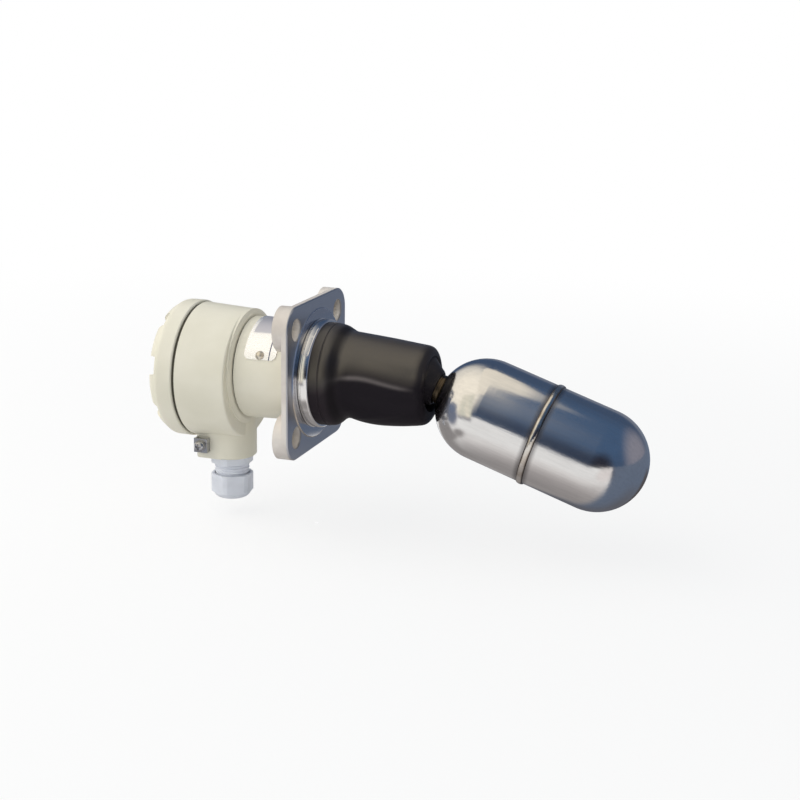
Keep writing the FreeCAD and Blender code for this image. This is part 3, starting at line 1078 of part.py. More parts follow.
def terminals():
    """Terminal block with its three clamp screws, its two fixing screws and the inner earth screw."""
    block = new_body("terminal_block")
    middle = "-house_drop"
    base = outline(block, "block_outline", "YZ_Plane", box_corners(
        "-block_wide / 2", "block_wide / 2", f"{middle} - block_high / 2", f"{middle} + block_high / 2"),
        shift={"z": "-block_front"})
    raise_up(block, base, "block_deep", backwards=True)
    wells = circles(block, "block_wells", "YZ_Plane", [
        (f"{place} * terminal_pitch", f"{middle} + well_up", "well_r") for place in (-1, 0, 1)],
        shift={"z": "-block_face"})
    raise_up(block, wells, "well_deep", cut=True)
    entries = circles(block, "block_wire_holes", "XY_Plane", [
        ("-block_face + well_deep - 1", f"{place} * terminal_pitch", "wire_r") for place in (-1, 0, 1)],
        shift={"z": f"{middle} - block_high / 2"})
    raise_up(block, entries, "6", cut=True)
    fixings = circles(block, "block_fixings", "YZ_Plane", block_holes("fix_r + run_fit"),
                      shift={"z": "-block_front + 1"})
    raise_up(block, fixings, "block_deep + 2", backwards=True, cut=True)
    clamps = new_body("terminal_screws")
    heads = circles(clamps, "terminal_screw_heads", "YZ_Plane", [
        (f"{place} * terminal_pitch", f"{middle} + well_up", "well_r - 0.3") for place in (-1, 0, 1)],
        shift={"z": "-block_face + well_deep"})
    raise_up(clamps, heads, "well_deep - 1.6", backwards=True)
    slots = outline(clamps, "terminal_screw_slots", "YZ_Plane", box_corners(
        "-terminal_pitch - 4", "terminal_pitch + 4", f"{middle} + well_up - slot_wide / 2",
        f"{middle} + well_up + slot_wide / 2"), shift={"z": "-block_face + 1.6 + slot_deep"})
    raise_up(clamps, slots, "slot_deep + 0.5", backwards=True, cut=True)
    holders = new_body("block_screws")
    shanks = circles(holders, "block_screw_shanks", "YZ_Plane", block_holes("fix_r - thread_fit"),
                     shift={"z": "-rail_end + 0.5"})
    raise_up(holders, shanks, "chassis_sheet + block_deep + 0.5", backwards=True)
    caps = circles(holders, "block_screw_heads", "YZ_Plane", block_holes("fix_head_r"),
                   shift={"z": "-block_face"})
    raise_up(holders, caps, "fix_head", backwards=True)
    earth = new_body("earth_screw")
    at_wall = "-house_in_front"
    spin(earth, outline(earth, "earth_screw_section", "XZ_Plane", [
        (f"{at_wall} + house_wall / 2", "0"), (f"{at_wall} + house_wall / 2", "small_r - thread_fit"),
        (at_wall, "small_r - thread_fit"), (at_wall, "small_head_r"),
        (f"{at_wall} - small_head + 0.4", "small_head_r"), (f"{at_wall} - small_head", "small_head_r - 0.4"),
        (f"{at_wall} - small_head", "0")], shift={"y": "-earth_z", "z": "-earth_y"}))
    return [block, clamps, holders, earth]


def check_document():
    """Stop if any object failed to build."""
    for item in DOC.Objects:
        bad = [word for word in item.State if word in ("Invalid", "Error")]
        if bad:
            raise RuntimeError(f"{item.Label}: {bad}")


def write_parts(bodies):
    """Write each sub-part's solids to its own file, once all are sound."""
    check_document()
    for body in bodies:
        if body.Shape.isNull() or not body.Shape.isValid() or not body.Shape.Solids:
            raise RuntimeError(f"{body.Label}: no sound shape")
    os.makedirs("parts", exist_ok=True)
    for body in bodies:
        body.Shape.exportStep(f"parts/{body.Label}.step")
        print(f"{body.Label:24s} solids {len(body.Shape.Solids)} volume {body.Shape.Volume:10.1f}")


fill_sheet()
BODIES = [flange(), boot_clamp_ring(), pivot_bracket(), bracket_screws(), *cross_pins(), rubber_boot(),
          float_lever(), *pivot_wear_parts(), *magnet_capsule(), *float_parts(), neck_tube(),
          *neck_fasteners(), *nameplate(), housing_body(), *cover(), *ground_terminal(), *gland(),
          switch_chassis(), *switch_lever(), *snap_switch(), *terminals()]
DOC.recompute()
write_parts(BODIES)
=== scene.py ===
"""Dresses the magnetic float level switch: its finishes, and the pieces finer than the frame's own.

Everything is in metres and in the frame's own axes: the origin is the middle of the flange's front
face, +X runs out to the float, +Z is up, and -Y is the near side with the ground terminal. The boot's
tables are in millimetres, where they read best.
"""
import math

import bpy
import numpy as np
from bpy.props import FloatProperty, FloatVectorProperty, IntProperty, PointerProperty
from mathutils import Matrix, Vector


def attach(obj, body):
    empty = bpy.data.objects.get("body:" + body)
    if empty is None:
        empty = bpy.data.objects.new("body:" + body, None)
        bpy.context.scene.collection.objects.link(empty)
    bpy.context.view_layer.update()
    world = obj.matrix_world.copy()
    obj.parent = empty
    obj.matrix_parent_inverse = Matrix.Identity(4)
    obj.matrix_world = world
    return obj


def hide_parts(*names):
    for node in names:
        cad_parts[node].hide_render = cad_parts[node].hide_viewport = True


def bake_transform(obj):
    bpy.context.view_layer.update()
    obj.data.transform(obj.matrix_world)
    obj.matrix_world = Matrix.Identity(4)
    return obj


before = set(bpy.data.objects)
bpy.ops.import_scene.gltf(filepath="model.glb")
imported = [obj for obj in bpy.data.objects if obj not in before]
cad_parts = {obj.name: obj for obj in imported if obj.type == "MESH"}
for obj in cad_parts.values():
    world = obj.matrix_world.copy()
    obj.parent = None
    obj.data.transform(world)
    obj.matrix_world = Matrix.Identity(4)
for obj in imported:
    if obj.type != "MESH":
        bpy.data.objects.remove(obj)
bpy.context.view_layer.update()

bl_info = {
    "name": "Float Level Switch",
    "version": (1, 0, 0),
    "blender": (4, 5, 0),
    "location": "View3D > Sidebar > Level Switch",
    "description": "Builds the finishes and fine pieces of a magnetic float level switch",
    "category": "Object",
}

MM = 0.001
REST = math.radians(18.6)
PIVOT = np.array([0.0693, 0.0, 0.0])
ALONG = np.array([math.cos(REST), 0.0, -math.sin(REST)])
UP_FROM_LEVER = np.array([math.sin(REST), 0.0, math.cos(REST)])
NEAR = np.array([0.0, -1.0, 0.0])
GLAND_X = -57.4 * MM
HALF_BOLT_SQUARE = 32.5 * MM
FLOAT_RADIUS = 30.3 * MM
FLOAT_MIDDLE = (0.14, 0.0, -0.024)  # rounded, for the reflection cards, which are laid out round it
WELD_MIDDLE = 74.45 * MM  # from the pivot, along the float's axis


# Colours

def linear(red, green, blue):
    """A screen colour, 0 to 255, as the scene-linear colour that a shader takes."""
    shares = [level / 255 for level in (red, green, blue)]
    return tuple(s / 12.92 if s <= 0.04045 else ((s + 0.055) / 1.055) ** 2.4 for s in shares)


# Shader maths as Python expressions

class Field:
    """A shader socket that arithmetic works on: each operator adds its own Math node."""

    def __init__(self, paint, socket):
        self.paint = paint
        self.socket = socket

    def __add__(self, other):
        return self.paint.math("ADD", self, other)

    def __radd__(self, other):
        return self.paint.math("ADD", other, self)

    def __sub__(self, other):
        return self.paint.math("SUBTRACT", self, other)

    def __rsub__(self, other):
        return self.paint.math("SUBTRACT", other, self)

    def __mul__(self, other):
        return self.paint.math("MULTIPLY", self, other)

    def __rmul__(self, other):
        return self.paint.math("MULTIPLY", other, self)

    def __abs__(self):
        return self.paint.math("ABSOLUTE", self)

    def root(self):
        return self.paint.math("SQRT", self)

    def most(self, other):
        """The larger of two values."""
        return self.paint.math("MAXIMUM", self, other)

    def ramp(self, low, high, start=0.0, end=1.0):
        """Smoothly from start to end while the value goes from low to high."""
        return self.paint.node("ShaderNodeMapRange", {"interpolation_type": "SMOOTHSTEP"},
                               {"Value": self, "From Min": low, "From Max": high,
                                "To Min": start, "To Max": end})


class Nodes:
    """A node tree, with one method that adds any node."""

    def __init__(self, tree):
        self.tree = tree

    def feed(self, socket, value):
        if isinstance(value, Field):
            self.tree.links.new(value.socket, socket)
        elif isinstance(value, tuple) and len(socket.default_value) == 4:
            socket.default_value = (*value, 1.0)
        else:
            socket.default_value = value

    def node(self, kind, settings=None, values=None, out=0):
        """Add a node: its settings first, then the values or links of its sockets."""
        made = self.tree.nodes.new(kind)
        for name, setting in (settings or {}).items():
            setattr(made, name, setting)
        for name, value in (values or {}).items():
            self.feed(made.inputs[name], value)
        return Field(self, made.outputs[out])

    def math(self, operation, *numbers):
        return self.node("ShaderNodeMath", {"operation": operation}, dict(enumerate(numbers)))

    def axes(self, vector):
        """The three coordinates of a vector."""
        first = self.node("ShaderNodeSeparateXYZ", None, {0: vector})
        outputs = first.socket.node.outputs
        return [Field(self, outputs[index]) for index in range(3)]

    def vector(self, *coordinates):
        return self.node("ShaderNodeCombineXYZ", None, dict(enumerate(coordinates)))

    def mix(self, share, below, above):
        """A colour between two: sockets 6 and 7 are the colours of a Mix node."""
        return self.node("ShaderNodeMix", {"data_type": "RGBA"}, {0: share, 6: below, 7: above}, out=2)

    def noise(self, vector, scale, detail=2.0, roughness=0.5):
        return self.node("ShaderNodeTexNoise", None, {
            "Vector": vector, "Scale": scale, "Detail": detail, "Roughness": roughness})

    def mix_shader(self, share, below, above):
        return self.node("ShaderNodeMixShader", None, {0: share, 1: below, 2: above})

    def background_rays(self):
        """1 on the rays that see the background: the camera's, a reflection's, or one through glass."""
        camera, glossy, through = (self.node("ShaderNodeLightPath", out=ray) for ray in (
            "Is Camera Ray", "Is Glossy Ray", "Is Transmission Ray"))
        return camera.most(glossy).most(through)


class Paint(Nodes):
    """A finish: a material whose sockets take numbers, colours or fields."""

    def __init__(self, name, colour, roughness, metallic=0.0, **constants):
        self.material = bpy.data.materials.new(name)
        self.material.use_nodes = True
        super().__init__(self.material.node_tree)
        self.shader = self.tree.nodes["Principled BSDF"]
        self.set("Base Color", colour)
        self.set("Roughness", roughness)
        self.set("Metallic", metallic)
        for socket, value in constants.items():
            self.set(socket.replace("_", " "), value)
        self.place = self.node("ShaderNodeTexCoord", out="Object")

    def set(self, socket, value):
        self.feed(self.shader.inputs[socket], value)

    def bump(self, height, depth):
        """Raise the surface by depth metres where height is 1."""
        self.set("Normal", self.node("ShaderNodeBump", None, {"Height": height, "Distance": depth}))


def distance(first, second):
    """How long a line is whose two legs, at right angles, are first and second."""
    return (first * first + second * second).root()


def lever_axes(paint):
    """Place in the lever's own axes: along the float from the pivot, to the far side, and upwards."""
    x, y, z = paint.axes(paint.place)
    ahead = x - PIVOT[0]
    along = ahead * ALONG[0] + z * ALONG[2]
    across = ahead * UP_FROM_LEVER[0] + z * UP_FROM_LEVER[2]
    return along, y, across


def beige_paint():
    """Baked satin paint on castings: a fine pebbled skin, a slight mottle and a faint drift of tone."""
    paint = Paint("BeigePaint", linear(226, 221, 207), 0.42, Specular_IOR_Level=0.4)
    drift = paint.noise(paint.place, 28.0, 3.0)
    paint.set("Base Color", paint.mix(drift.ramp(0.3, 0.7), linear(223, 218, 200), linear(231, 226, 210)))
    pebble = paint.noise(paint.place, 950.0, 2.5, 0.55)
    grain = paint.noise(paint.place, 320.0, 2.0)
    paint.set("Roughness", pebble.ramp(0.35, 0.7, 0.36, 0.5))
    paint.bump(pebble * 0.7 + grain * 0.5, 0.09 * MM)
    return paint.material


def cast_and_faced():
    """Cast alloy, sand-rough at its sides and back, and darkened further in along its bolt holes by
    painted shade. Its front face is turned bright in fine rings, and polished on the raised disc, whose
    edge carries a painted highlight: a pale, less metallic line, warm low down and bluer towards its top
    as a painted reflection."""
    paint = Paint("CastAndFaced", linear(196, 190, 182), 0.5, 1.0)
    x, y, z = paint.axes(paint.place)
    radius = distance(y, z)
    front = x.ramp(-1.1 * MM, -0.7 * MM)
    disc = radius.ramp(39.4 * MM, 39.0 * MM)
    # A pale, less metallic line round the disc's edge: a painted highlight.
    wear_and_painted_highlight = radius.ramp(38.6 * MM, 39.0 * MM) * radius.ramp(39.7 * MM, 39.3 * MM) * front
    from_hole = distance(abs(y) - HALF_BOLT_SQUARE, abs(z) - HALF_BOLT_SQUARE)
    # Painted shade: the bolt holes' walls darken the further in they lie.
    painted_bore_shade = from_hole.ramp(7.2 * MM, 6.9 * MM) * x.ramp(-0.5 * MM, -7.5 * MM)
    sand = paint.noise(paint.place, 520.0, 4.0, 0.6)
    blotch = paint.noise(paint.place, 60.0, 3.0)
    rings = paint.noise(paint.vector(radius * 9000.0, 0.3, 0.7), 1.0, 2.0)
    cast = paint.mix(blotch.ramp(0.3, 0.7), linear(208, 200, 193), linear(226, 220, 214))
    cast = paint.mix(painted_bore_shade * 0.8, cast, linear(104, 96, 86))
    faced = paint.mix(rings, linear(182, 183, 188), linear(206, 206, 208))
    # The painted highlight's tone: warm low on the disc and bluer towards its top, as a painted
    # reflection.
    line = paint.mix(z.ramp(-14 * MM, 2 * MM), linear(206, 194, 180), linear(150, 162, 186))
    faced = paint.mix(wear_and_painted_highlight, faced, line)
    paint.set("Base Color", paint.mix(front, cast, faced))
    paint.set("Metallic", front.ramp(0.0, 1.0, 0.3, 1.0) * (1.0 - wear_and_painted_highlight * 0.6))
    paint.set("Roughness", sand.ramp(0.2, 0.8, 0.42, 0.6) * (1.0 - front)
              + (rings * 0.08 + blotch * 0.1 + 0.27 - disc * 0.17) * front)
    # The disc falls away a little at its top and bottom, ever more towards its edge
    fall = (abs(z) - 22 * MM).most(0.0) * disc * front
    grain = sand * (1.0 - front) * 1.6 + rings * front * 0.04
    paint.bump(grain * 0.12 - fall * fall * (8.0 / MM), 1 * MM)
    return paint.material


def turned_steel(name, tone, roughness, pitch, lean=0.0):
    """Steel turned about the flange's axis: rings that follow the tool, noise read on radius and X alone.
    Its sides lean forward by the slope lean, and more towards their front, as those of a rolled ring do,
    and painted shade lays a dark line at the foot of them, against the flange."""
    paint = Paint(name, linear(*tone), roughness, 1.0)
    x, y, z = paint.axes(paint.place)
    rings = paint.noise(paint.vector(distance(y, z) * pitch, x * pitch, 0.4), 1.0, 2.0)
    smudge = paint.noise(paint.place, 140.0, 3.0)
    # Painted shade: a dark line where the ring's foot meets the flange.
    foot = x.ramp(1.2 * MM, 0.7 * MM)
    paint.set("Base Color", paint.mix(foot, linear(*tone), linear(60, 55, 52)))
    paint.set("Roughness", rings * 0.06 + smudge * 0.06 + (roughness - 0.06))
    doubles_over = 2.7 * MM
    paint.bump(rings * 0.006 - (x + x * x * (0.5 / doubles_over)) * (lean / MM), 1 * MM)
    return paint.material


def lever_steel(name, tone, roughness, pitch, sway, weld_shade_strength=0.0):
    """Steel turned or polished about the float's own axis: faint rings round it, scratches along it, and a
    slow sway of the surface that bends what it reflects. Its last argument is how strongly painted shade
    darkens it beside the weld."""
    paint = Paint(name, linear(*tone), roughness, 1.0)
    along, near, across = lever_axes(paint)
    reach = distance(near, across) * 0.3
    rings = paint.noise(paint.vector(along * pitch, reach * pitch, 0.2), 1.0, 3.0, 0.6)
    brushed = paint.noise(paint.vector(along * 45.0, near * 620.0, across * 620.0), 1.0, 3.0, 0.65)
    smudge = paint.noise(paint.place, 55.0, 3.0, 0.6)
    wave = paint.noise(paint.vector(along, near, across), 24.0, 1.0)
    wear_and_painted_highlight = smudge.ramp(0.3, 0.8) * 0.4 + brushed.ramp(0.35, 0.7) * 0.6
    base = paint.mix(wear_and_painted_highlight, linear(*tone), linear(*[level * 0.95 for level in tone]))
    # Painted shade on the shell beside the weld bead, which is also a little rougher there.
    weld_shade = abs(along - WELD_MIDDLE).ramp(2.2 * MM, 5.5 * MM, weld_shade_strength, 0.0)
    paint.set("Base Color", paint.mix(weld_shade, base, linear(116, 112, 112)))
    paint.set("Roughness", brushed * 0.1 + smudge * 0.06 + weld_shade * 0.1 + (roughness - 0.07))
    paint.bump(wave * sway + rings * 0.2 + brushed * 1.3, 0.03 * MM)
    return paint.material


def weld_steel():
    """Ground weld bead: bright along its crest, and darkened at its two edges by painted shade where it
    meets the shell.
    """
    paint = Paint("WeldSteel", linear(196, 191, 184), 0.2, 1.0)
    along, _, _ = lever_axes(paint)
    stain = paint.noise(paint.place, 190.0, 3.0)
    # Painted shade along the bead's two edges, where it meets the shell.
    edge = (abs(along - WELD_MIDDLE) + stain * 0.6 * MM).ramp(1.1 * MM, 2.1 * MM)
    crest = paint.mix(stain.ramp(0.35, 0.75), linear(214, 209, 202), linear(190, 180, 168))
    paint.set("Base Color", paint.mix(edge, crest, linear(92, 82, 74)))
    paint.set("Roughness", stain.ramp(0.2, 0.8, 0.12, 0.24) + edge * 0.1)
    paint.bump(paint.noise(paint.place, 1500.0, 2.0), 0.02 * MM)
    return paint.material


def black_rubber():
    """Moulded rubber: fine skin grain and faint flow marks. Above its fold it is dust brown, lighter also
    as painted light on its lit upper side, and has a soft shine, and below it is dull black. A painted
    highlight runs along the fold's crest, and painted shade darkens the waist. The skin's two attributes
    say where its upper half and its crest are."""
    paint = Paint("BlackRubber", linear(40, 37, 36), 0.45, Specular_IOR_Level=0.05, Coat_Roughness=0.33,
                  Coat_IOR=1.7)
    dust = paint.noise(paint.place, 34.0, 4.0, 0.6)
    grain = paint.noise(paint.place, 2100.0, 2.0)
    x, y, z = paint.axes(paint.place)
    flow = paint.noise(paint.vector(x * 0.25, y, z), 120.0, 3.0)
    dust_and_painted_light, crest = (paint.node("ShaderNodeAttribute", {"attribute_name": name}, out="Fac")
                    for name in ("dust_and_painted_light", "crest"))
    # The waist, whose hollow is darkened by painted shade.
    waist = x.ramp(15.0 * MM, 18.8 * MM) * x.ramp(23.8 * MM, 19.8 * MM)
    # Above the fold: dust, and painted light on the lit upper side, which also takes the coat's shine.
    upper = dust_and_painted_light * (1.0 - waist * 0.7) * x.ramp(73.5 * MM, 66.0 * MM, 0.3, 1.0)
    bloom_and_painted_light = upper * (dust.ramp(0.35, 0.75) * 0.3 + 0.7)
    dull = paint.mix(x.ramp(17 * MM, 26 * MM), linear(46, 40, 44), linear(31, 27, 32))
    dust_and_painted_light_tone = paint.mix(bloom_and_painted_light, dull, linear(62, 54, 44))
    # Painted highlight along the fold's crest and round the inner rim of the sleeve's end.
    dust_and_painted_light_tone = paint.mix(crest * 0.75, dust_and_painted_light_tone, linear(112, 104, 103))
    # Painted shade darkening the hollow of the waist.
    paint.set("Base Color", paint.mix(waist * 0.6, dust_and_painted_light_tone, linear(8, 7, 9)))
    paint.set("Coat Weight", upper * 0.88 + crest * 0.25 + 0.01)
    paint.set("Roughness", dust.ramp(0.3, 0.7, 0.4, 0.5) + flow * 0.05)
    paint.bump(grain * 0.35 + flow * 1.1, 0.06 * MM)
    return paint.material


def moulded_plastic(name, tone, roughness):
    """Moulded plastic: a fine even skin and a slight unevenness of its gloss."""
    paint = Paint(name, linear(*tone), roughness)
    skin = paint.noise(paint.place, 1600.0, 2.0)
    cloud = paint.noise(paint.place, 90.0, 2.0)
    paint.set("Base Color", paint.mix(cloud.ramp(0.3, 0.7), linear(*tone),
                                      linear(*[level * 0.95 for level in tone])))
    paint.set("Roughness", cloud * 0.12 + skin * 0.06 + (roughness - 0.09))
    paint.bump(skin, 0.02 * MM)
    return paint.material


def bright_plate():
    """Bright rolled plate: fine lines along its length, a dull etched field and a thin dark rule."""
    paint = Paint("BrightPlate", linear(222, 224, 228), 0.24, 0.7)
    x, y, z = paint.axes(paint.place)
    lines = paint.noise(paint.vector(x * 0.02, y, z), 5200.0, 2.0)
    rule = x.ramp(-20.05 * MM, -19.75 * MM) * x.ramp(-19.1 * MM, -19.4 * MM)
    field = x.ramp(-33.8 * MM, -33.3 * MM) * x.ramp(-20.8 * MM, -21.2 * MM) * z.ramp(25 * MM, 26 * MM)
    etched = paint.mix(field, linear(247, 247, 248), linear(196, 196, 206))
    paint.set("Base Color", paint.mix(rule, etched, linear(52, 60, 96)))
    paint.set("Roughness", lines * 0.14 + field * 0.16 + 0.2)
    paint.bump(lines + rule * -1.5, 0.012 * MM)
    return paint.material


def plain_metal(name, tone, roughness):
    """Worked metal with no one direction: fine scratches and a slight cloud in its shine."""
    paint = Paint(name, linear(*tone), roughness, 1.0)
    cloud = paint.noise(paint.place, 160.0, 3.0)
    scratch = paint.noise(paint.place, 2600.0, 3.0, 0.7)
    paint.set("Base Color", paint.mix(cloud.ramp(0.3, 0.7), linear(*tone),
                                      linear(*[level * 0.9 for level in tone])))
    paint.set("Roughness", cloud * 0.14 + scratch * 0.08 + (roughness - 0.1))
    paint.bump(scratch, 0.01 * MM)
    return paint.material


# Meshes from whole arrays

def curve_through(stations, places):
    """A smooth curve through the rows of stations, read at places along their index: a Catmull-Rom
    spline, whose slope at each row is half the step between its two neighbours."""
    rows = np.asarray(stations, float)
    padded = np.vstack([2 * rows[:1] - rows[1:2], rows, 2 * rows[-1:] - rows[-2:-1]])
    index = np.clip(np.floor(places).astype(int), 0, len(rows) - 2)
    t = (places - index)[:, None]
    a, b, c, d = (padded[index + step] for step in range(4))
    bend, twist = 2 * a - 5 * b + 4 * c - d, 3 * b - a - 3 * c + d
    return 0.5 * (2 * b + (c - a) * t + bend * t ** 2 + twist * t ** 3)


def bell(value, width):
    """1 where the value is 0, falling on both sides as a bell curve, to 1/e at the width."""
    return np.exp(-(value / width) ** 2)


def smooth_step(share):
    """A share from 0 to 1, eased at both ends, and held there beyond them."""
    share = np.clip(share, 0, 1)
    return share * share * (3 - 2 * share)


def grid_faces(rows, columns, ring):
    """Quads between neighbouring grid points; with ring, the last column joins the first."""
    across = columns if ring else columns - 1
    row, column = np.meshgrid(np.arange(rows - 1), np.arange(across), indexing="ij")
    after = (column + 1) % columns
    quads = [row * columns + column, row * columns + after, (row + 1) * columns + after,
             (row + 1) * columns + column]
    return np.stack(quads, -1).reshape(-1, 4)


def smooth_surface(name, points, material, ring):
    """An object made of one smooth grid of points; with ring, each row of the grid closes."""
    mesh = bpy.data.meshes.new(name)
    faces = grid_faces(*points.shape[:2], ring)
    mesh.from_pydata(points.reshape(-1, 3).tolist(), [], faces.tolist())
    mesh.polygons.foreach_set("use_smooth", np.ones(len(faces), bool))
    mesh.materials.append(material)
    mesh.update()
    surface = bpy.data.objects.new(name, mesh)
    bpy.context.scene.collection.objects.link(surface)
    return surface


def make_piece(name, points, material, body):
    """A piece made of closed rows of points. It rides on a body when one is given, and is left unattached
    otherwise.
    """
    piece = smooth_surface(name, points, material, ring=True)
    if body:
        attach(piece, body)
    return piece


# The boot, in millimetres: places along X, each with the skin's reach above and below the flange's axis

BOOT_STATIONS = [
    (0.8, 31.0, 31.0), (6.4, 31.0, 31.0), (11.0, 31.0, 31.0), (11.6, 30.95, 30.95), (12.1, 30.5, 30.5),
    (12.6, 30.75, 30.75), (14.2, 30.6, 30.6), (15.8, 30.25, 30.1), (17.2, 29.8, 29.0), (18.6, 29.1, 27.7),
    (20.0, 28.4, 26.7), (21.6, 27.6, 25.8), (23.4, 27.0, 25.3), (25.6, 26.75, 25.4), (28.6, 26.45, 26.1),
    (31.5, 26.2, 26.7), (35.0, 25.9, 27.2), (39.5, 25.5, 27.6), (45.0, 25.0, 27.7), (51.0, 24.4, 27.4),
    (57.0, 23.75, 26.9), (62.5, 23.15, 26.2), (66.5, 22.75, 25.6), (69.3, 22.4, 25.0), (71.0, 21.8, 24.2),
    (72.2, 20.7, 22.8), (73.0, 19.2, 21.2), (73.4, 17.7, 19.2), (73.3, 16.7, 17.6), (72.6, 16.1, 16.6),
]
# Its nose: places along the lever from the pivot, each with the skin's radius round the lever
NOSE_STATIONS = [(1.6, 15.0), (2.8, 13.7), (4.4, 12.5), (6.0, 11.4), (7.1, 10.7), (7.7, 10.1), (7.7, 9.6),
                 (7.2, 9.2), (5.4, 9.0)]
RINGS_PER_STATION = 5
# Where the sleeve folds on each side: distance along X, and degrees down from its top
FOLD = [(14.0, 87.0), (20.0, 83.5), (26.0, 80.0), (31.5, 76.8), (37.5, 75.2), (44.0, 75.8), (52.0, 78.4),
        (63.0, 81.8), (76.0, 84.0)]


def boot_rings():
    """Centre, radius and lean of each ring of the boot: the sleeve's rings stand square to X, the
    nose's rings lie on the lever and lean with it, and those between go smoothly from one to the other."""
    sleeve = np.array(BOOT_STATIONS)
    x, top, bottom = sleeve.T
    sleeve = np.stack([x, np.zeros_like(x), (top - bottom) / 2, (top + bottom) / 2, np.zeros_like(x)], 1)
    s, radius = np.array(NOSE_STATIONS).T
    centre = PIVOT / MM + s[:, None] * ALONG
    lean = np.full_like(s, REST)
    lean[:2] = REST * 0.8, REST * 0.95
    nose = np.column_stack([centre, radius, lean])
    rings = np.vstack([sleeve, nose])
    return curve_through(rings, np.linspace(0, len(rings) - 1, (len(rings) - 1) * RINGS_PER_STATION + 1))


def fold_line(x):
    """Degrees down from the boot's top at which its fold lies, for places along X in millimetres."""
    line = curve_through(FOLD, np.linspace(0, len(FOLD) - 1, 81))
    return np.interp(x, *line.T)[:, None]


def boot_fold(x, down):
    """How far the sleeve's skin stands out, in millimetres, at X and an angle down from its top: a
    narrow ridge, as a bell curve round the fold line, between a shallow hollow above and a deeper and
    wider one below, and a slanting pleat under that, each a bell of its own."""
    below = down - fold_line(x)
    share = smooth_step(np.clip((x - 24) / 14, 0, 1) * np.clip((75 - x) / 9, 0, 1))[:, None]
    ridge = bell(below, 5) * 1.1 - bell(below + 18, 12) * 0.9
    hollow = bell(below - 24, 14) * 1.5
    pleat = bell(below - 44 + (x[:, None] - 55) * 0.9, 6) * 0.5
    return share * (ridge - hollow + pleat)


def boot_tones(x, down):
    """How much dust and painted light lie on the skin's upper side, falling by a smooth step from well
    above the fold to just below it, and how strong the painted highlight on its crest is: a narrow bell
    round the fold, strong along the sleeve and weak on the base, and another round the inner rim of the
    sleeve's end, on its near and far sides."""
    below = down - fold_line(x)
    lower_on_base = np.interp(x, (18, 28), (14, 0))[:, None]
    # Dust and painted light on the upper side, fading out just below the fold.
    dust_and_painted_light = 1 - smooth_step((below - lower_on_base + 24) / 27)
    # The painted highlight along the crest, and round the inner rim of the sleeve's end.
    strength = np.interp(x, (12, 20, 24, 30, 60, 70), (0, 0.12, 0.3, 1, 0.75, 0))[:, None]
    station = (np.arange(len(x)) / RINGS_PER_STATION)[:, None]
    rim_station = len(BOOT_STATIONS) - 1.8
    rim = bell(station - rim_station, 0.45) * bell(down - 88, 24) * 0.45
    return dust_and_painted_light, strength * bell(below - 1, 2.8) + rim


def boot_surface(count=240):
    """The boot's skin: on each ring a circle, with the sleeve's fold laid on it on both sides. Its tones
    come with it."""
    rings = boot_rings()
    x, _, height, radius, lean = rings.T
    angle = np.arange(count) * 2 * math.pi / count
    down = np.degrees(math.pi - np.abs(angle - math.pi))[None]
    out = (radius[:, None] + boot_fold(x, down)) * MM
    centre = np.stack([x, np.zeros_like(x), height], 1) * MM
    upright = np.stack([np.sin(lean), np.zeros_like(lean), np.cos(lean)], 1)
    spoke = np.cos(angle)[None, :, None] * upright[:, None] + np.sin(angle)[None, :, None] * NEAR
    return centre[:, None] + out[..., None] * spoke, boot_tones(x, down)


def gland_thread_surface(pitch, rows=61, count=96):
    """The thread between the gland's hexagon and its nut: the radius at a height and an angle is the
    core's, plus the depth times a rounded wave of the height in pitches plus the angle in turns."""
    low, high, core, depth = -69.4 * MM, -62.6 * MM, 10.05 * MM, 0.75 * MM
    height = np.linspace(low, high, rows)[:, None]
    angle = (np.arange(count) * 2 * math.pi / count)[None]
    wave = 0.5 + 0.5 * np.cos(2 * math.pi * height / pitch + angle)
    ends = np.clip((height - low) / (0.5 * MM), 0, 1) * np.clip((high - height) / (1.2 * MM), 0, 1)
    radius = core + depth * wave ** 0.8 * ends - 0.05 * MM * (ends < 0.01)
    x, z = GLAND_X + radius * np.cos(angle), height + 0 * angle
    return np.stack([x, radius * np.sin(angle), z], -1)


def swivel_seal_surface(count=160):
    """The lip of the seal in the slot between neck and collar: a half-round band about the flange's
    axis, whose radius falls by a half circle from its middle to its two edges."""
    middle, half_width, foot, height = -41.8 * MM, 0.36 * MM, 29.9 * MM, 0.35 * MM
    turn = np.linspace(0, math.pi, 9)[:, None]
    angle = (np.arange(count) * 2 * math.pi / count)[None]
    radius = foot + height * np.sin(turn)
    x = middle - half_width * np.cos(turn) + 0 * angle
    return np.stack([x, radius * np.cos(angle), radius * np.sin(angle)], -1)


def weld_bead_surface(ripples, width, height):
    """The bead round the float's middle: a low half-round arch across its width, on the float's radius.
    Round the float the arch swells and sinks by a cosine, whose crests lag towards the two edges as a
    weld's crescents do."""
    points_per_ripple, swell, lag, sunk = 6, 0.008, 1.6, 0.05 * MM
    across = np.sin(np.linspace(-1, 1, 17) * math.pi / 2)
    count = ripples * points_per_ripple
    angle = np.arange(count) * 2 * math.pi / count
    phase = angle[None] * ripples - across[:, None] ** 2 * lag
    arch = (1 - across[:, None] ** 2) ** 0.5 * (1 - swell + swell * np.cos(phase))
    radius = FLOAT_RADIUS - sunk + arch * height
    spoke = np.cos(angle)[:, None] * UP_FROM_LEVER + np.sin(angle)[:, None] * NEAR
    centre = PIVOT + (WELD_MIDDLE + across * width / 2)[:, None] * ALONG
    return centre[:, None] + radius[..., None] * spoke[None]


# Settings that a user would change

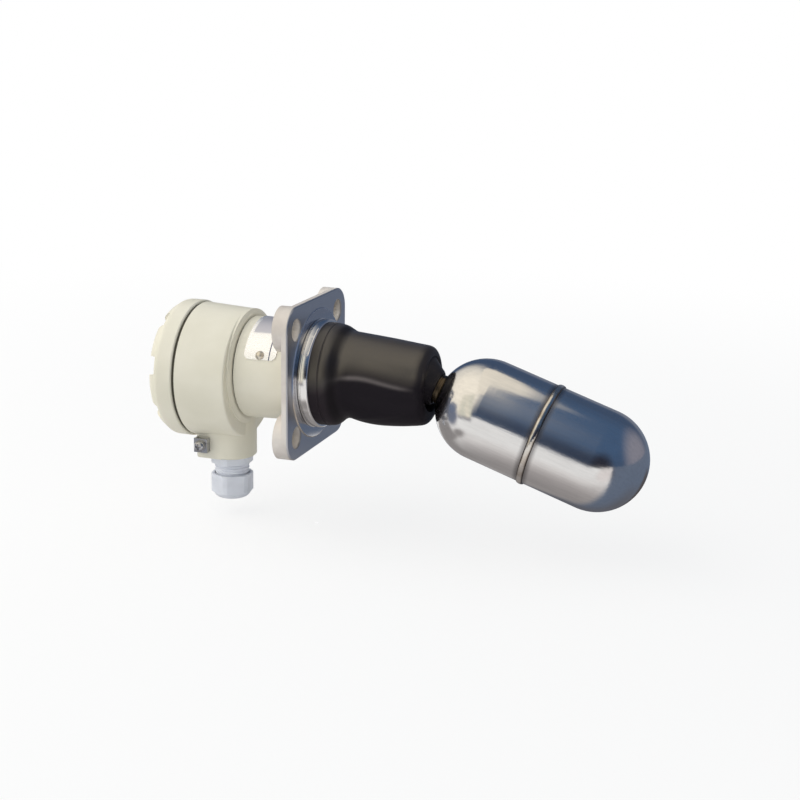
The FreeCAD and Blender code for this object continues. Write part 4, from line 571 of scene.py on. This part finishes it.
class SwitchLook(bpy.types.PropertyGroup):
    """Sizes and colours of the fine pieces."""

    bead_ripples: IntProperty(name="Weld ripples", description="Ripples round the float's weld",
                              default=110, min=20)
    bead_width: FloatProperty(name="Weld width", description="Width of the float's weld bead",
                              default=4.2 * MM, unit="LENGTH")
    bead_height: FloatProperty(name="Weld height", description="Height of the bead above the float",
                               default=1.05 * MM, unit="LENGTH")
    thread_pitch: FloatProperty(name="Gland pitch", description="Pitch of the gland's thread",
                                default=2.2 * MM, unit="LENGTH")
    floor_tone: FloatVectorProperty(name="Floor", description="Colour of the floor",
                                    default=(0.9, 0.9, 0.9), subtype="COLOR")
    floor_height: FloatProperty(name="Floor height", description="Height of the floor",
                                default=-0.096, unit="LENGTH")


# Operators, one for each piece or group

FINISHES = {}


def finish(name):
    """The named finish, made once."""
    makers = {
        "beige": beige_paint,
        "cast": cast_and_faced,
        "turned": lambda: turned_steel("TurnedSteel", (226, 224, 222), 0.14, 3500.0, 0.1),
        "float": lambda: lever_steel("PolishedFloat", (224, 222, 220), 0.14, 900.0, 8.0, 0.75),
        # The socket's steel is toned dark brown as painted shade, for it sits in the hollow between the
        # boot's nose and the float.
        "socket": lambda: lever_steel("TurnedSocket", (84, 73, 59), 0.3, 6000.0, 1.0),
        "weld": weld_steel,
        "rubber": black_rubber,
        "seal": lambda: moulded_plastic("SealRubber", (30, 28, 26), 0.5),
        "gasket": lambda: moulded_plastic("CoverGasket", (66, 62, 48), 0.6),
        "gland": lambda: moulded_plastic("GreyPlastic", (226, 229, 238), 0.36),
        "black": lambda: moulded_plastic("BlackPlastic", (40, 40, 42), 0.5),
        "red": lambda: moulded_plastic("RedPlastic", (170, 40, 34), 0.4),
        "plate": bright_plate,
        "steel": lambda: plain_metal("FastenerSteel", (188, 188, 190), 0.28),
        "rivet": lambda: plain_metal("BrightRivet", (236, 228, 214), 0.3),
        "alloy": lambda: plain_metal("SheetAlloy", (200, 202, 204), 0.36),
        "brass": lambda: plain_metal("PlainBrass", (206, 172, 96), 0.3),
        "magnet": lambda: plain_metal("NickelMagnet", (150, 148, 144), 0.2),
    }
    if name not in FINISHES:
        FINISHES[name] = makers[name]()
    return FINISHES[name]


def dress(name, nodes):
    """Give a finish to frame nodes."""
    for node in nodes.split():
        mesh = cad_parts[node].data
        mesh.materials.clear()
        mesh.materials.append(finish(name))


class LEVELSWITCH_OT_castings(bpy.types.Operator):
    """Paint the housing, cover and neck, and give the flange its cast sides and turned face."""

    bl_idname = "levelswitch.castings"
    bl_label = "Castings"

    def execute(self, context):
        dress("beige", "housing_body cover neck_tube")
        dress("cast", "flange")
        return {"FINISHED"}


class LEVELSWITCH_OT_boot(bpy.types.Operator):
    """Build the rubber boot's skin, which bends between the flange and the float's lever."""

    bl_idname = "levelswitch.boot"
    bl_label = "Rubber boot"

    def execute(self, context):
        points, tones = boot_surface()
        skin = make_piece("boot_skin", points, finish("rubber"), None)
        for name, tone in zip(("dust_and_painted_light", "crest"), tones):
            layer = skin.data.attributes.new(name, "FLOAT", "POINT")
            layer.data.foreach_set("value", tone.ravel())
        wall = skin.modifiers.new("Wall", "SOLIDIFY")
        wall.thickness, wall.offset = 2.0 * MM, -1.0
        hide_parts("rubber_boot")
        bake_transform(skin)
        return {"FINISHED"}


class LEVELSWITCH_OT_float(bpy.types.Operator):
    """Polish the float, and lay the rippled weld bead round its middle."""

    bl_idname = "levelswitch.float_shell"
    bl_label = "Float"

    def execute(self, context):
        look = context.scene.level_switch
        dress("float", "float_shell_near float_shell_far")
        dress("socket", "float_socket")
        points = weld_bead_surface(look.bead_ripples, look.bead_width, look.bead_height)
        bead = make_piece("float_weld_bead", points, finish("weld"), "float")
        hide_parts("float_girth_weld")
        return {"FINISHED"}


class LEVELSWITCH_OT_fittings(bpy.types.Operator):
    """Finish the clamp ring, nameplate, ground terminal, gland and every inner piece."""

    bl_idname = "levelswitch.fittings"
    bl_label = "Fittings"

    def execute(self, context):
        dress("turned", "boot_clamp_ring")
        dress("plate", "nameplate")
        dress("gland", "gland_body gland_nut gland_slip_ring")
        thread = gland_thread_surface(context.scene.level_switch.thread_pitch)
        make_piece("gland_thread", thread, finish("gland"), "housing")
        make_piece("swivel_seal_lip", swivel_seal_surface(), finish("gasket"), "housing")
        dress("rubber", "rubber_boot")
        dress("seal", "neck_oring gland_seal")
        dress("gasket", "cover_seal")
        dress("black", "microswitch_case terminal_block")
        dress("red", "microswitch_button")
        dress("rivet", "nameplate_rivets")
        dress("alloy", "switch_chassis switch_lever neck_lock_ring")
        dress("brass", "pivot_bush terminal_screws earth_screw")
        dress("magnet", "float_magnet switch_magnet")
        dress("weld", "float_girth_weld")
        dress("steel", "ground_clamp ground_spring_washer ground_screw pivot_bracket bracket_screws "
              "pivot_pin pivot_clips stop_pins neck_screws lever_pin microswitch_screws "
              "microswitch_nuts block_screws float_lever lever_washers magnet_holder magnet_lid "
              "float_backing_ring")
        return {"FINISHED"}


def heading(azimuth, elevation):
    """Directions as rows: azimuth turns from -Y towards +X, elevation rises from level, in degrees."""
    azimuth, elevation = np.radians(azimuth), np.radians(elevation)
    level = np.cos(elevation)
    return np.stack(np.broadcast_arrays(np.sin(azimuth) * level, -np.cos(azimuth) * level,
                                        np.sin(elevation)), -1)


def stage_piece(name, points, nodes, surface, ring=False):
    """A smooth surface of the stage, with a shader of its own on the material of its name."""
    output = nodes.tree.nodes["Material Output"]
    nodes.feed(output.inputs["Surface"], surface)
    piece = smooth_surface(name, points, bpy.data.materials[name], ring)
    return piece


def stage_nodes(name):
    """An empty material for the stage."""
    material = bpy.data.materials.new(name)
    material.use_nodes = True
    return Nodes(material.node_tree)


def floor(tone, height):
    """A round pale floor, white to the camera and to reflections, with a share of its own shading
    near the object so that it keeps the shadow. It isn't there from below."""
    nodes = stage_nodes("PaleFloor")
    x, y, _ = nodes.axes(nodes.node("ShaderNodeTexCoord", out="Object"))
    share = distance(x, y).ramp(0.2, 1.0, 0.78, 1.0)
    shaded = nodes.node("ShaderNodeBsdfDiffuse", None, {"Color": tone})
    white = nodes.node("ShaderNodeEmission", None, {"Color": (1.0, 1.0, 1.0), "Strength": 1.0})
    top = nodes.mix_shader(nodes.background_rays() * share, shaded, white)
    behind = nodes.node("ShaderNodeNewGeometry", out="Backfacing")
    surface = nodes.mix_shader(behind, top, nodes.node("ShaderNodeBsdfTransparent"))
    reach = np.array([0.001, 0.3, 1.0, 3.0])[:, None]
    angle = np.radians(np.arange(0, 360, 5))[None, ::-1]
    points = np.stack(np.broadcast_arrays(reach * np.cos(angle), reach * np.sin(angle), height), -1)
    stage_piece("PaleFloor", points, nodes, surface, ring=True)


def reflection_card(name, points, nodes, colour, cover=1.0):
    """A card that only reflections see, as a studio hangs round polished metal to shape it. It glows in
    its colour, and is clear where cover is 0."""
    glow = nodes.node("ShaderNodeEmission", None, {"Color": colour, "Strength": 1.0})
    clear = nodes.node("ShaderNodeBsdfTransparent")
    card = stage_piece(name, points, nodes, nodes.mix_shader(cover, clear, glow))
    card.visible_camera = False
    card.visible_diffuse = False
    card.visible_shadow = False


def dome(azimuths, elevations, reach):
    """A patch of a sphere round the float's middle, between two azimuths and two elevations."""
    turn = np.linspace(*azimuths, 49)[None]
    rise = np.linspace(*elevations, 25)[:, None]
    return np.array(FLOAT_MIDDLE) + reach * heading(turn, rise)


def towards(nodes, direction, near, far):
    """1 where a card is seen from the float within near degrees of a direction, down to 0 at far. The
    direction is an azimuth and an elevation."""
    place = nodes.node("ShaderNodeTexCoord", out="Object")
    way = nodes.node("ShaderNodeVectorMath", {"operation": "SUBTRACT"}, {0: place, 1: FLOAT_MIDDLE})
    way = nodes.node("ShaderNodeVectorMath", {"operation": "NORMALIZE"}, {0: way})
    aim = tuple(float(part) for part in heading(*direction))
    along = nodes.node("ShaderNodeVectorMath", {"operation": "DOT_PRODUCT"}, {0: way, 1: aim}, out="Value")
    return along.ramp(math.cos(math.radians(far)), math.cos(math.radians(near)))


def cream_card():
    """A pale warm dome over the whole object, brightest where the key light stands."""
    nodes = stage_nodes("CreamCard")
    colour = nodes.mix(towards(nodes, (-60, 40), 15, 55), (0.86, 0.82, 0.74), (1.16, 1.08, 0.93))
    reflection_card("CreamCard", dome((-180, 180), (-3, 89), 2.7), nodes, colour)


def room_card():
    """A dark blue room inside the pale dome, open towards the key light and in a spot at the horizon. It
    is lighter beyond the float's end, behind the switch and beside the flange, and nearly black in
    front of the float."""
    nodes = stage_nodes("RoomCard")
    overhead, beyond_end, behind_switch, beside_flange = (60, 55), (112, 6), (177, -4), (-66, -1)
    before_float, key_light, horizon_spot = (20, 2), (-75, 35), (-51, 4)
    room = nodes.mix(towards(nodes, overhead, 20, 70), (0.052, 0.088, 0.165), (0.058, 0.115, 0.225))
    room = nodes.mix(towards(nodes, beyond_end, 12, 46), room, (0.27, 0.27, 0.33))
    room = nodes.mix(towards(nodes, behind_switch, 10, 30), room, (0.20, 0.225, 0.29))
    room = nodes.mix(towards(nodes, beside_flange, 12, 20), room, (0.17, 0.21, 0.31))
    colour = nodes.mix(towards(nodes, before_float, 8, 34), room, (0.016, 0.018, 0.035))
    window = towards(nodes, key_light, 43, 65) * (1.0 - towards(nodes, beside_flange, 12, 17))
    window = window.most(towards(nodes, horizon_spot, 3, 7))
    reflection_card("RoomCard", dome((-180, 180), (-3, 88), 2.3), nodes, colour, 1.0 - window)


# The strip over the float, in metres: places along X, each with its near and its far edge along Y
WEDGE = [(0.05, -0.25, 0.125), (0.13, -0.23, 0.124), (0.148, -0.165, 0.123), (0.158, -0.098, 0.120),
         (0.17, -0.068, 0.112), (0.186, -0.037, 0.067), (0.205, -0.004, 0.05), (0.225, 0.01, 0.035)]
CARD_DISTANCE = 0.25  # of the strip above, and of the ring's card beside, the flange's axis


def wedge_card():
    """A strip that hangs over the float and narrows towards its end, for the pale wedge on the float's
    top: each row of points runs across it, from its near edge to its far edge."""
    nodes = stage_nodes("WedgeCard")
    x, _, _ = nodes.axes(nodes.node("ShaderNodeTexCoord", out="Object"))
    places, near_edge, far_edge = np.array(WEDGE).T
    along = np.linspace(places[0], places[-1], 36)[:, None]
    share = np.linspace(0, 1, 9)[None]
    near, far = (np.interp(along, places, edge) for edge in (near_edge, far_edge))
    points = np.stack(np.broadcast_arrays(along, near + (far - near) * share, CARD_DISTANCE), -1)
    cover = x.ramp(0.190, 0.178, 0.3, 0.96) * x.ramp(0.225, 0.205)
    reflection_card("WedgeCard", points, nodes, (1.0, 0.93, 0.80), cover)


def ring_card():
    """A tall pale card in front of the flange, in which the clamp ring's side shines: faintly streaked,
    and grey at its foot."""
    nodes = stage_nodes("RingCard")
    x, _, z = nodes.axes(nodes.node("ShaderNodeTexCoord", out="Object"))
    streak = nodes.noise(nodes.vector(x, 0.3, z * 0.1), 38.0, 2.0)
    colour = nodes.mix(streak.ramp(0.4, 0.6), (1.0, 0.93, 0.78), (0.78, 0.77, 0.66))
    colour = nodes.mix(z.ramp(-0.055, -0.010), (0.30, 0.30, 0.34), colour)
    along, height = np.meshgrid(np.linspace(-0.17, 0.03, 5), np.linspace(-0.062, 0.24, 5))
    points = np.stack([along, np.full_like(along, -CARD_DISTANCE), height], -1)
    reflection_card("RingCard", points, nodes, colour)


def table_card(height):
    """What metal sees of the table. Before the float it is grey close by and pale further out, beyond the
    float's end it is blue, and dark where it lies under the far side. Patches under the clamp ring, the
    boot and the float are grey, as the table there mirrors them."""
    nodes = stage_nodes("TableCard")
    x, y, _ = nodes.axes(nodes.node("ShaderNodeTexCoord", out="Object"))
    ahead = x - FLOAT_MIDDLE[0]
    away = distance(ahead, y)
    near = away.ramp(0.05, 0.17, 1.0, 0.0)
    beyond = (ahead * 0.69 + y * 0.72).ramp(-0.004, 0.014)
    behind = y.ramp(0.12, 0.34) * x.ramp(0.1, 0.2, 1.0, 0.0)
    under_far_side = away.ramp(0.05, 0.15, 1.0, 0.0) * y.ramp(-0.03, 0.02)
    navy = towards(nodes, (36, -14), 6, 20)
    flange_side = towards(nodes, (-66, -3), 10, 19)
    dark_patch = towards(nodes, (140, -33), 7, 18)

    under_ring = distance(x - 0.012, y + 0.08).ramp(0.06, 0.015)
    under_boot = y.ramp(-0.085, -0.045) * x.ramp(0.05, 0.02)
    under_float = y.ramp(-0.09, 0.01) * x.ramp(0.14, 0.07)
    under = under_boot.most(under_float) * y.ramp(0.12, 0.09) * x.ramp(-0.2, -0.1)
    under = under.most(under_ring)

    front = nodes.mix(away.ramp(0.015, 0.16), (0.33, 0.31, 0.31), (0.90, 0.85, 0.84))
    blue = nodes.mix(navy, (0.115, 0.155, 0.235), (0.02, 0.03, 0.07))
    blue = nodes.mix(under_far_side, blue, (0.10, 0.105, 0.13))
    blue = nodes.mix(dark_patch, blue, (0.06, 0.05, 0.05))
    colour = nodes.mix(beyond, front, blue)
    colour = nodes.mix(under, colour, (0.30, 0.285, 0.285))
    colour = nodes.mix(behind, colour, (0.22, 0.235, 0.29))
    colour = nodes.mix(flange_side, colour, (0.15, 0.18, 0.26))
    cover = near.most(beyond).most(navy.most(flange_side)).most(under)

    along, across = np.meshgrid(np.linspace(-2.5, 2.5, 21), np.linspace(-2.5, 2.5, 21))
    points = np.stack([along, across, np.full_like(along, height + 0.5 * MM)], -1)
    reflection_card("TableCard", points, nodes, colour, cover * 0.96)


def area_lamp(name, azimuth, elevation, distance_out, size, power, colour):
    """A soft rectangular lamp that faces the object, seen neither by the camera nor in reflections."""
    light = bpy.data.lights.new(name, "AREA")
    light.shape = "RECTANGLE"
    light.energy = power
    light.size, light.size_y = size
    light.color = colour
    lamp = bpy.data.objects.new(name, light)
    place = Vector(heading(azimuth, elevation) * distance_out)
    turn = (-place).to_track_quat("-Z", "Y").to_matrix().to_4x4()
    lamp.matrix_world = Matrix.Translation(place) @ turn
    lamp.visible_camera = False
    lamp.visible_glossy = False
    bpy.context.scene.collection.objects.link(lamp)


def photo_camera():
    """A camera at the photograph's angle. Its place is given to its own right, up and back, so the origin
    stands left of the picture's middle and above it."""
    azimuth, elevation, roll = (math.radians(angle) for angle in (18.859, 14.785, 0.987))
    turn = (Matrix.Rotation(azimuth, 4, "Z") @ Matrix.Rotation(math.pi / 2 - elevation, 4, "X")
            @ Matrix.Rotation(roll, 4, "Z"))
    camera = bpy.data.cameras.new("PhotoCamera")
    camera.lens = 67.5
    camera.sensor_width = 36.0
    camera.clip_start = 0.05
    eye = bpy.data.objects.new("PhotoCamera", camera)
    eye.matrix_world = turn @ Matrix.Translation((0.04991, -0.01673, 0.90666))
    bpy.context.scene.collection.objects.link(eye)
    bpy.context.scene.camera = eye


class LEVELSWITCH_OT_stage(bpy.types.Operator):
    """Set the floor, the white surroundings, the soft lamp, the reflection cards and the camera."""

    bl_idname = "levelswitch.stage"
    bl_label = "Stage"

    def execute(self, context):
        scene = context.scene
        look = scene.level_switch
        scene.view_settings.view_transform = "Standard"
        world = bpy.data.worlds.new("Studio")
        world.use_nodes = True
        scene.world = world
        nodes = Nodes(world.node_tree)
        shown = nodes.node("ShaderNodeBackground", None, {"Color": (1.0, 1.0, 1.0), "Strength": 1.0})
        light = nodes.node("ShaderNodeBackground", None, {"Color": (0.9, 0.95, 1.0), "Strength": 0.62})
        nodes.feed(nodes.tree.nodes["World Output"].inputs["Surface"],
                   nodes.mix_shader(nodes.background_rays(), light, shown))
        floor(tuple(look.floor_tone), look.floor_height)

        cream_card()
        room_card()
        table_card(look.floor_height)
        wedge_card()
        ring_card()
        area_lamp("KeyLamp", azimuth=-65, elevation=42, distance_out=1.25, size=(1.8, 1.3), power=12.5,
                  colour=(1.0, 0.955, 0.87))
        photo_camera()
        return {"FINISHED"}


class LEVELSWITCH_PT_panel(bpy.types.Panel):
    """Lists the steps of the switch's dressing in the sidebar."""

    bl_label = "Level Switch"
    bl_idname = "LEVELSWITCH_PT_panel"
    bl_space_type = "VIEW_3D"
    bl_region_type = "UI"
    bl_category = "Level Switch"

    def draw(self, context):
        look = context.scene.level_switch
        for name in look.__annotations__:
            self.layout.prop(look, name)
        for step in STEPS:
            self.layout.operator(step.bl_idname)


STEPS = (LEVELSWITCH_OT_castings, LEVELSWITCH_OT_boot, LEVELSWITCH_OT_float, LEVELSWITCH_OT_fittings,
         LEVELSWITCH_OT_stage)
CLASSES = (SwitchLook, *STEPS, LEVELSWITCH_PT_panel)


def register():
    for item in CLASSES:
        bpy.utils.register_class(item)
    bpy.types.Scene.level_switch = PointerProperty(type=SwitchLook)


def unregister():
    del bpy.types.Scene.level_switch
    for item in reversed(CLASSES):
        bpy.utils.unregister_class(item)


def main():
    register()
    for step in STEPS:
        group, name = step.bl_idname.split(".")
        getattr(getattr(bpy.ops, group), name)()


if __name__ == "__main__":
    main()
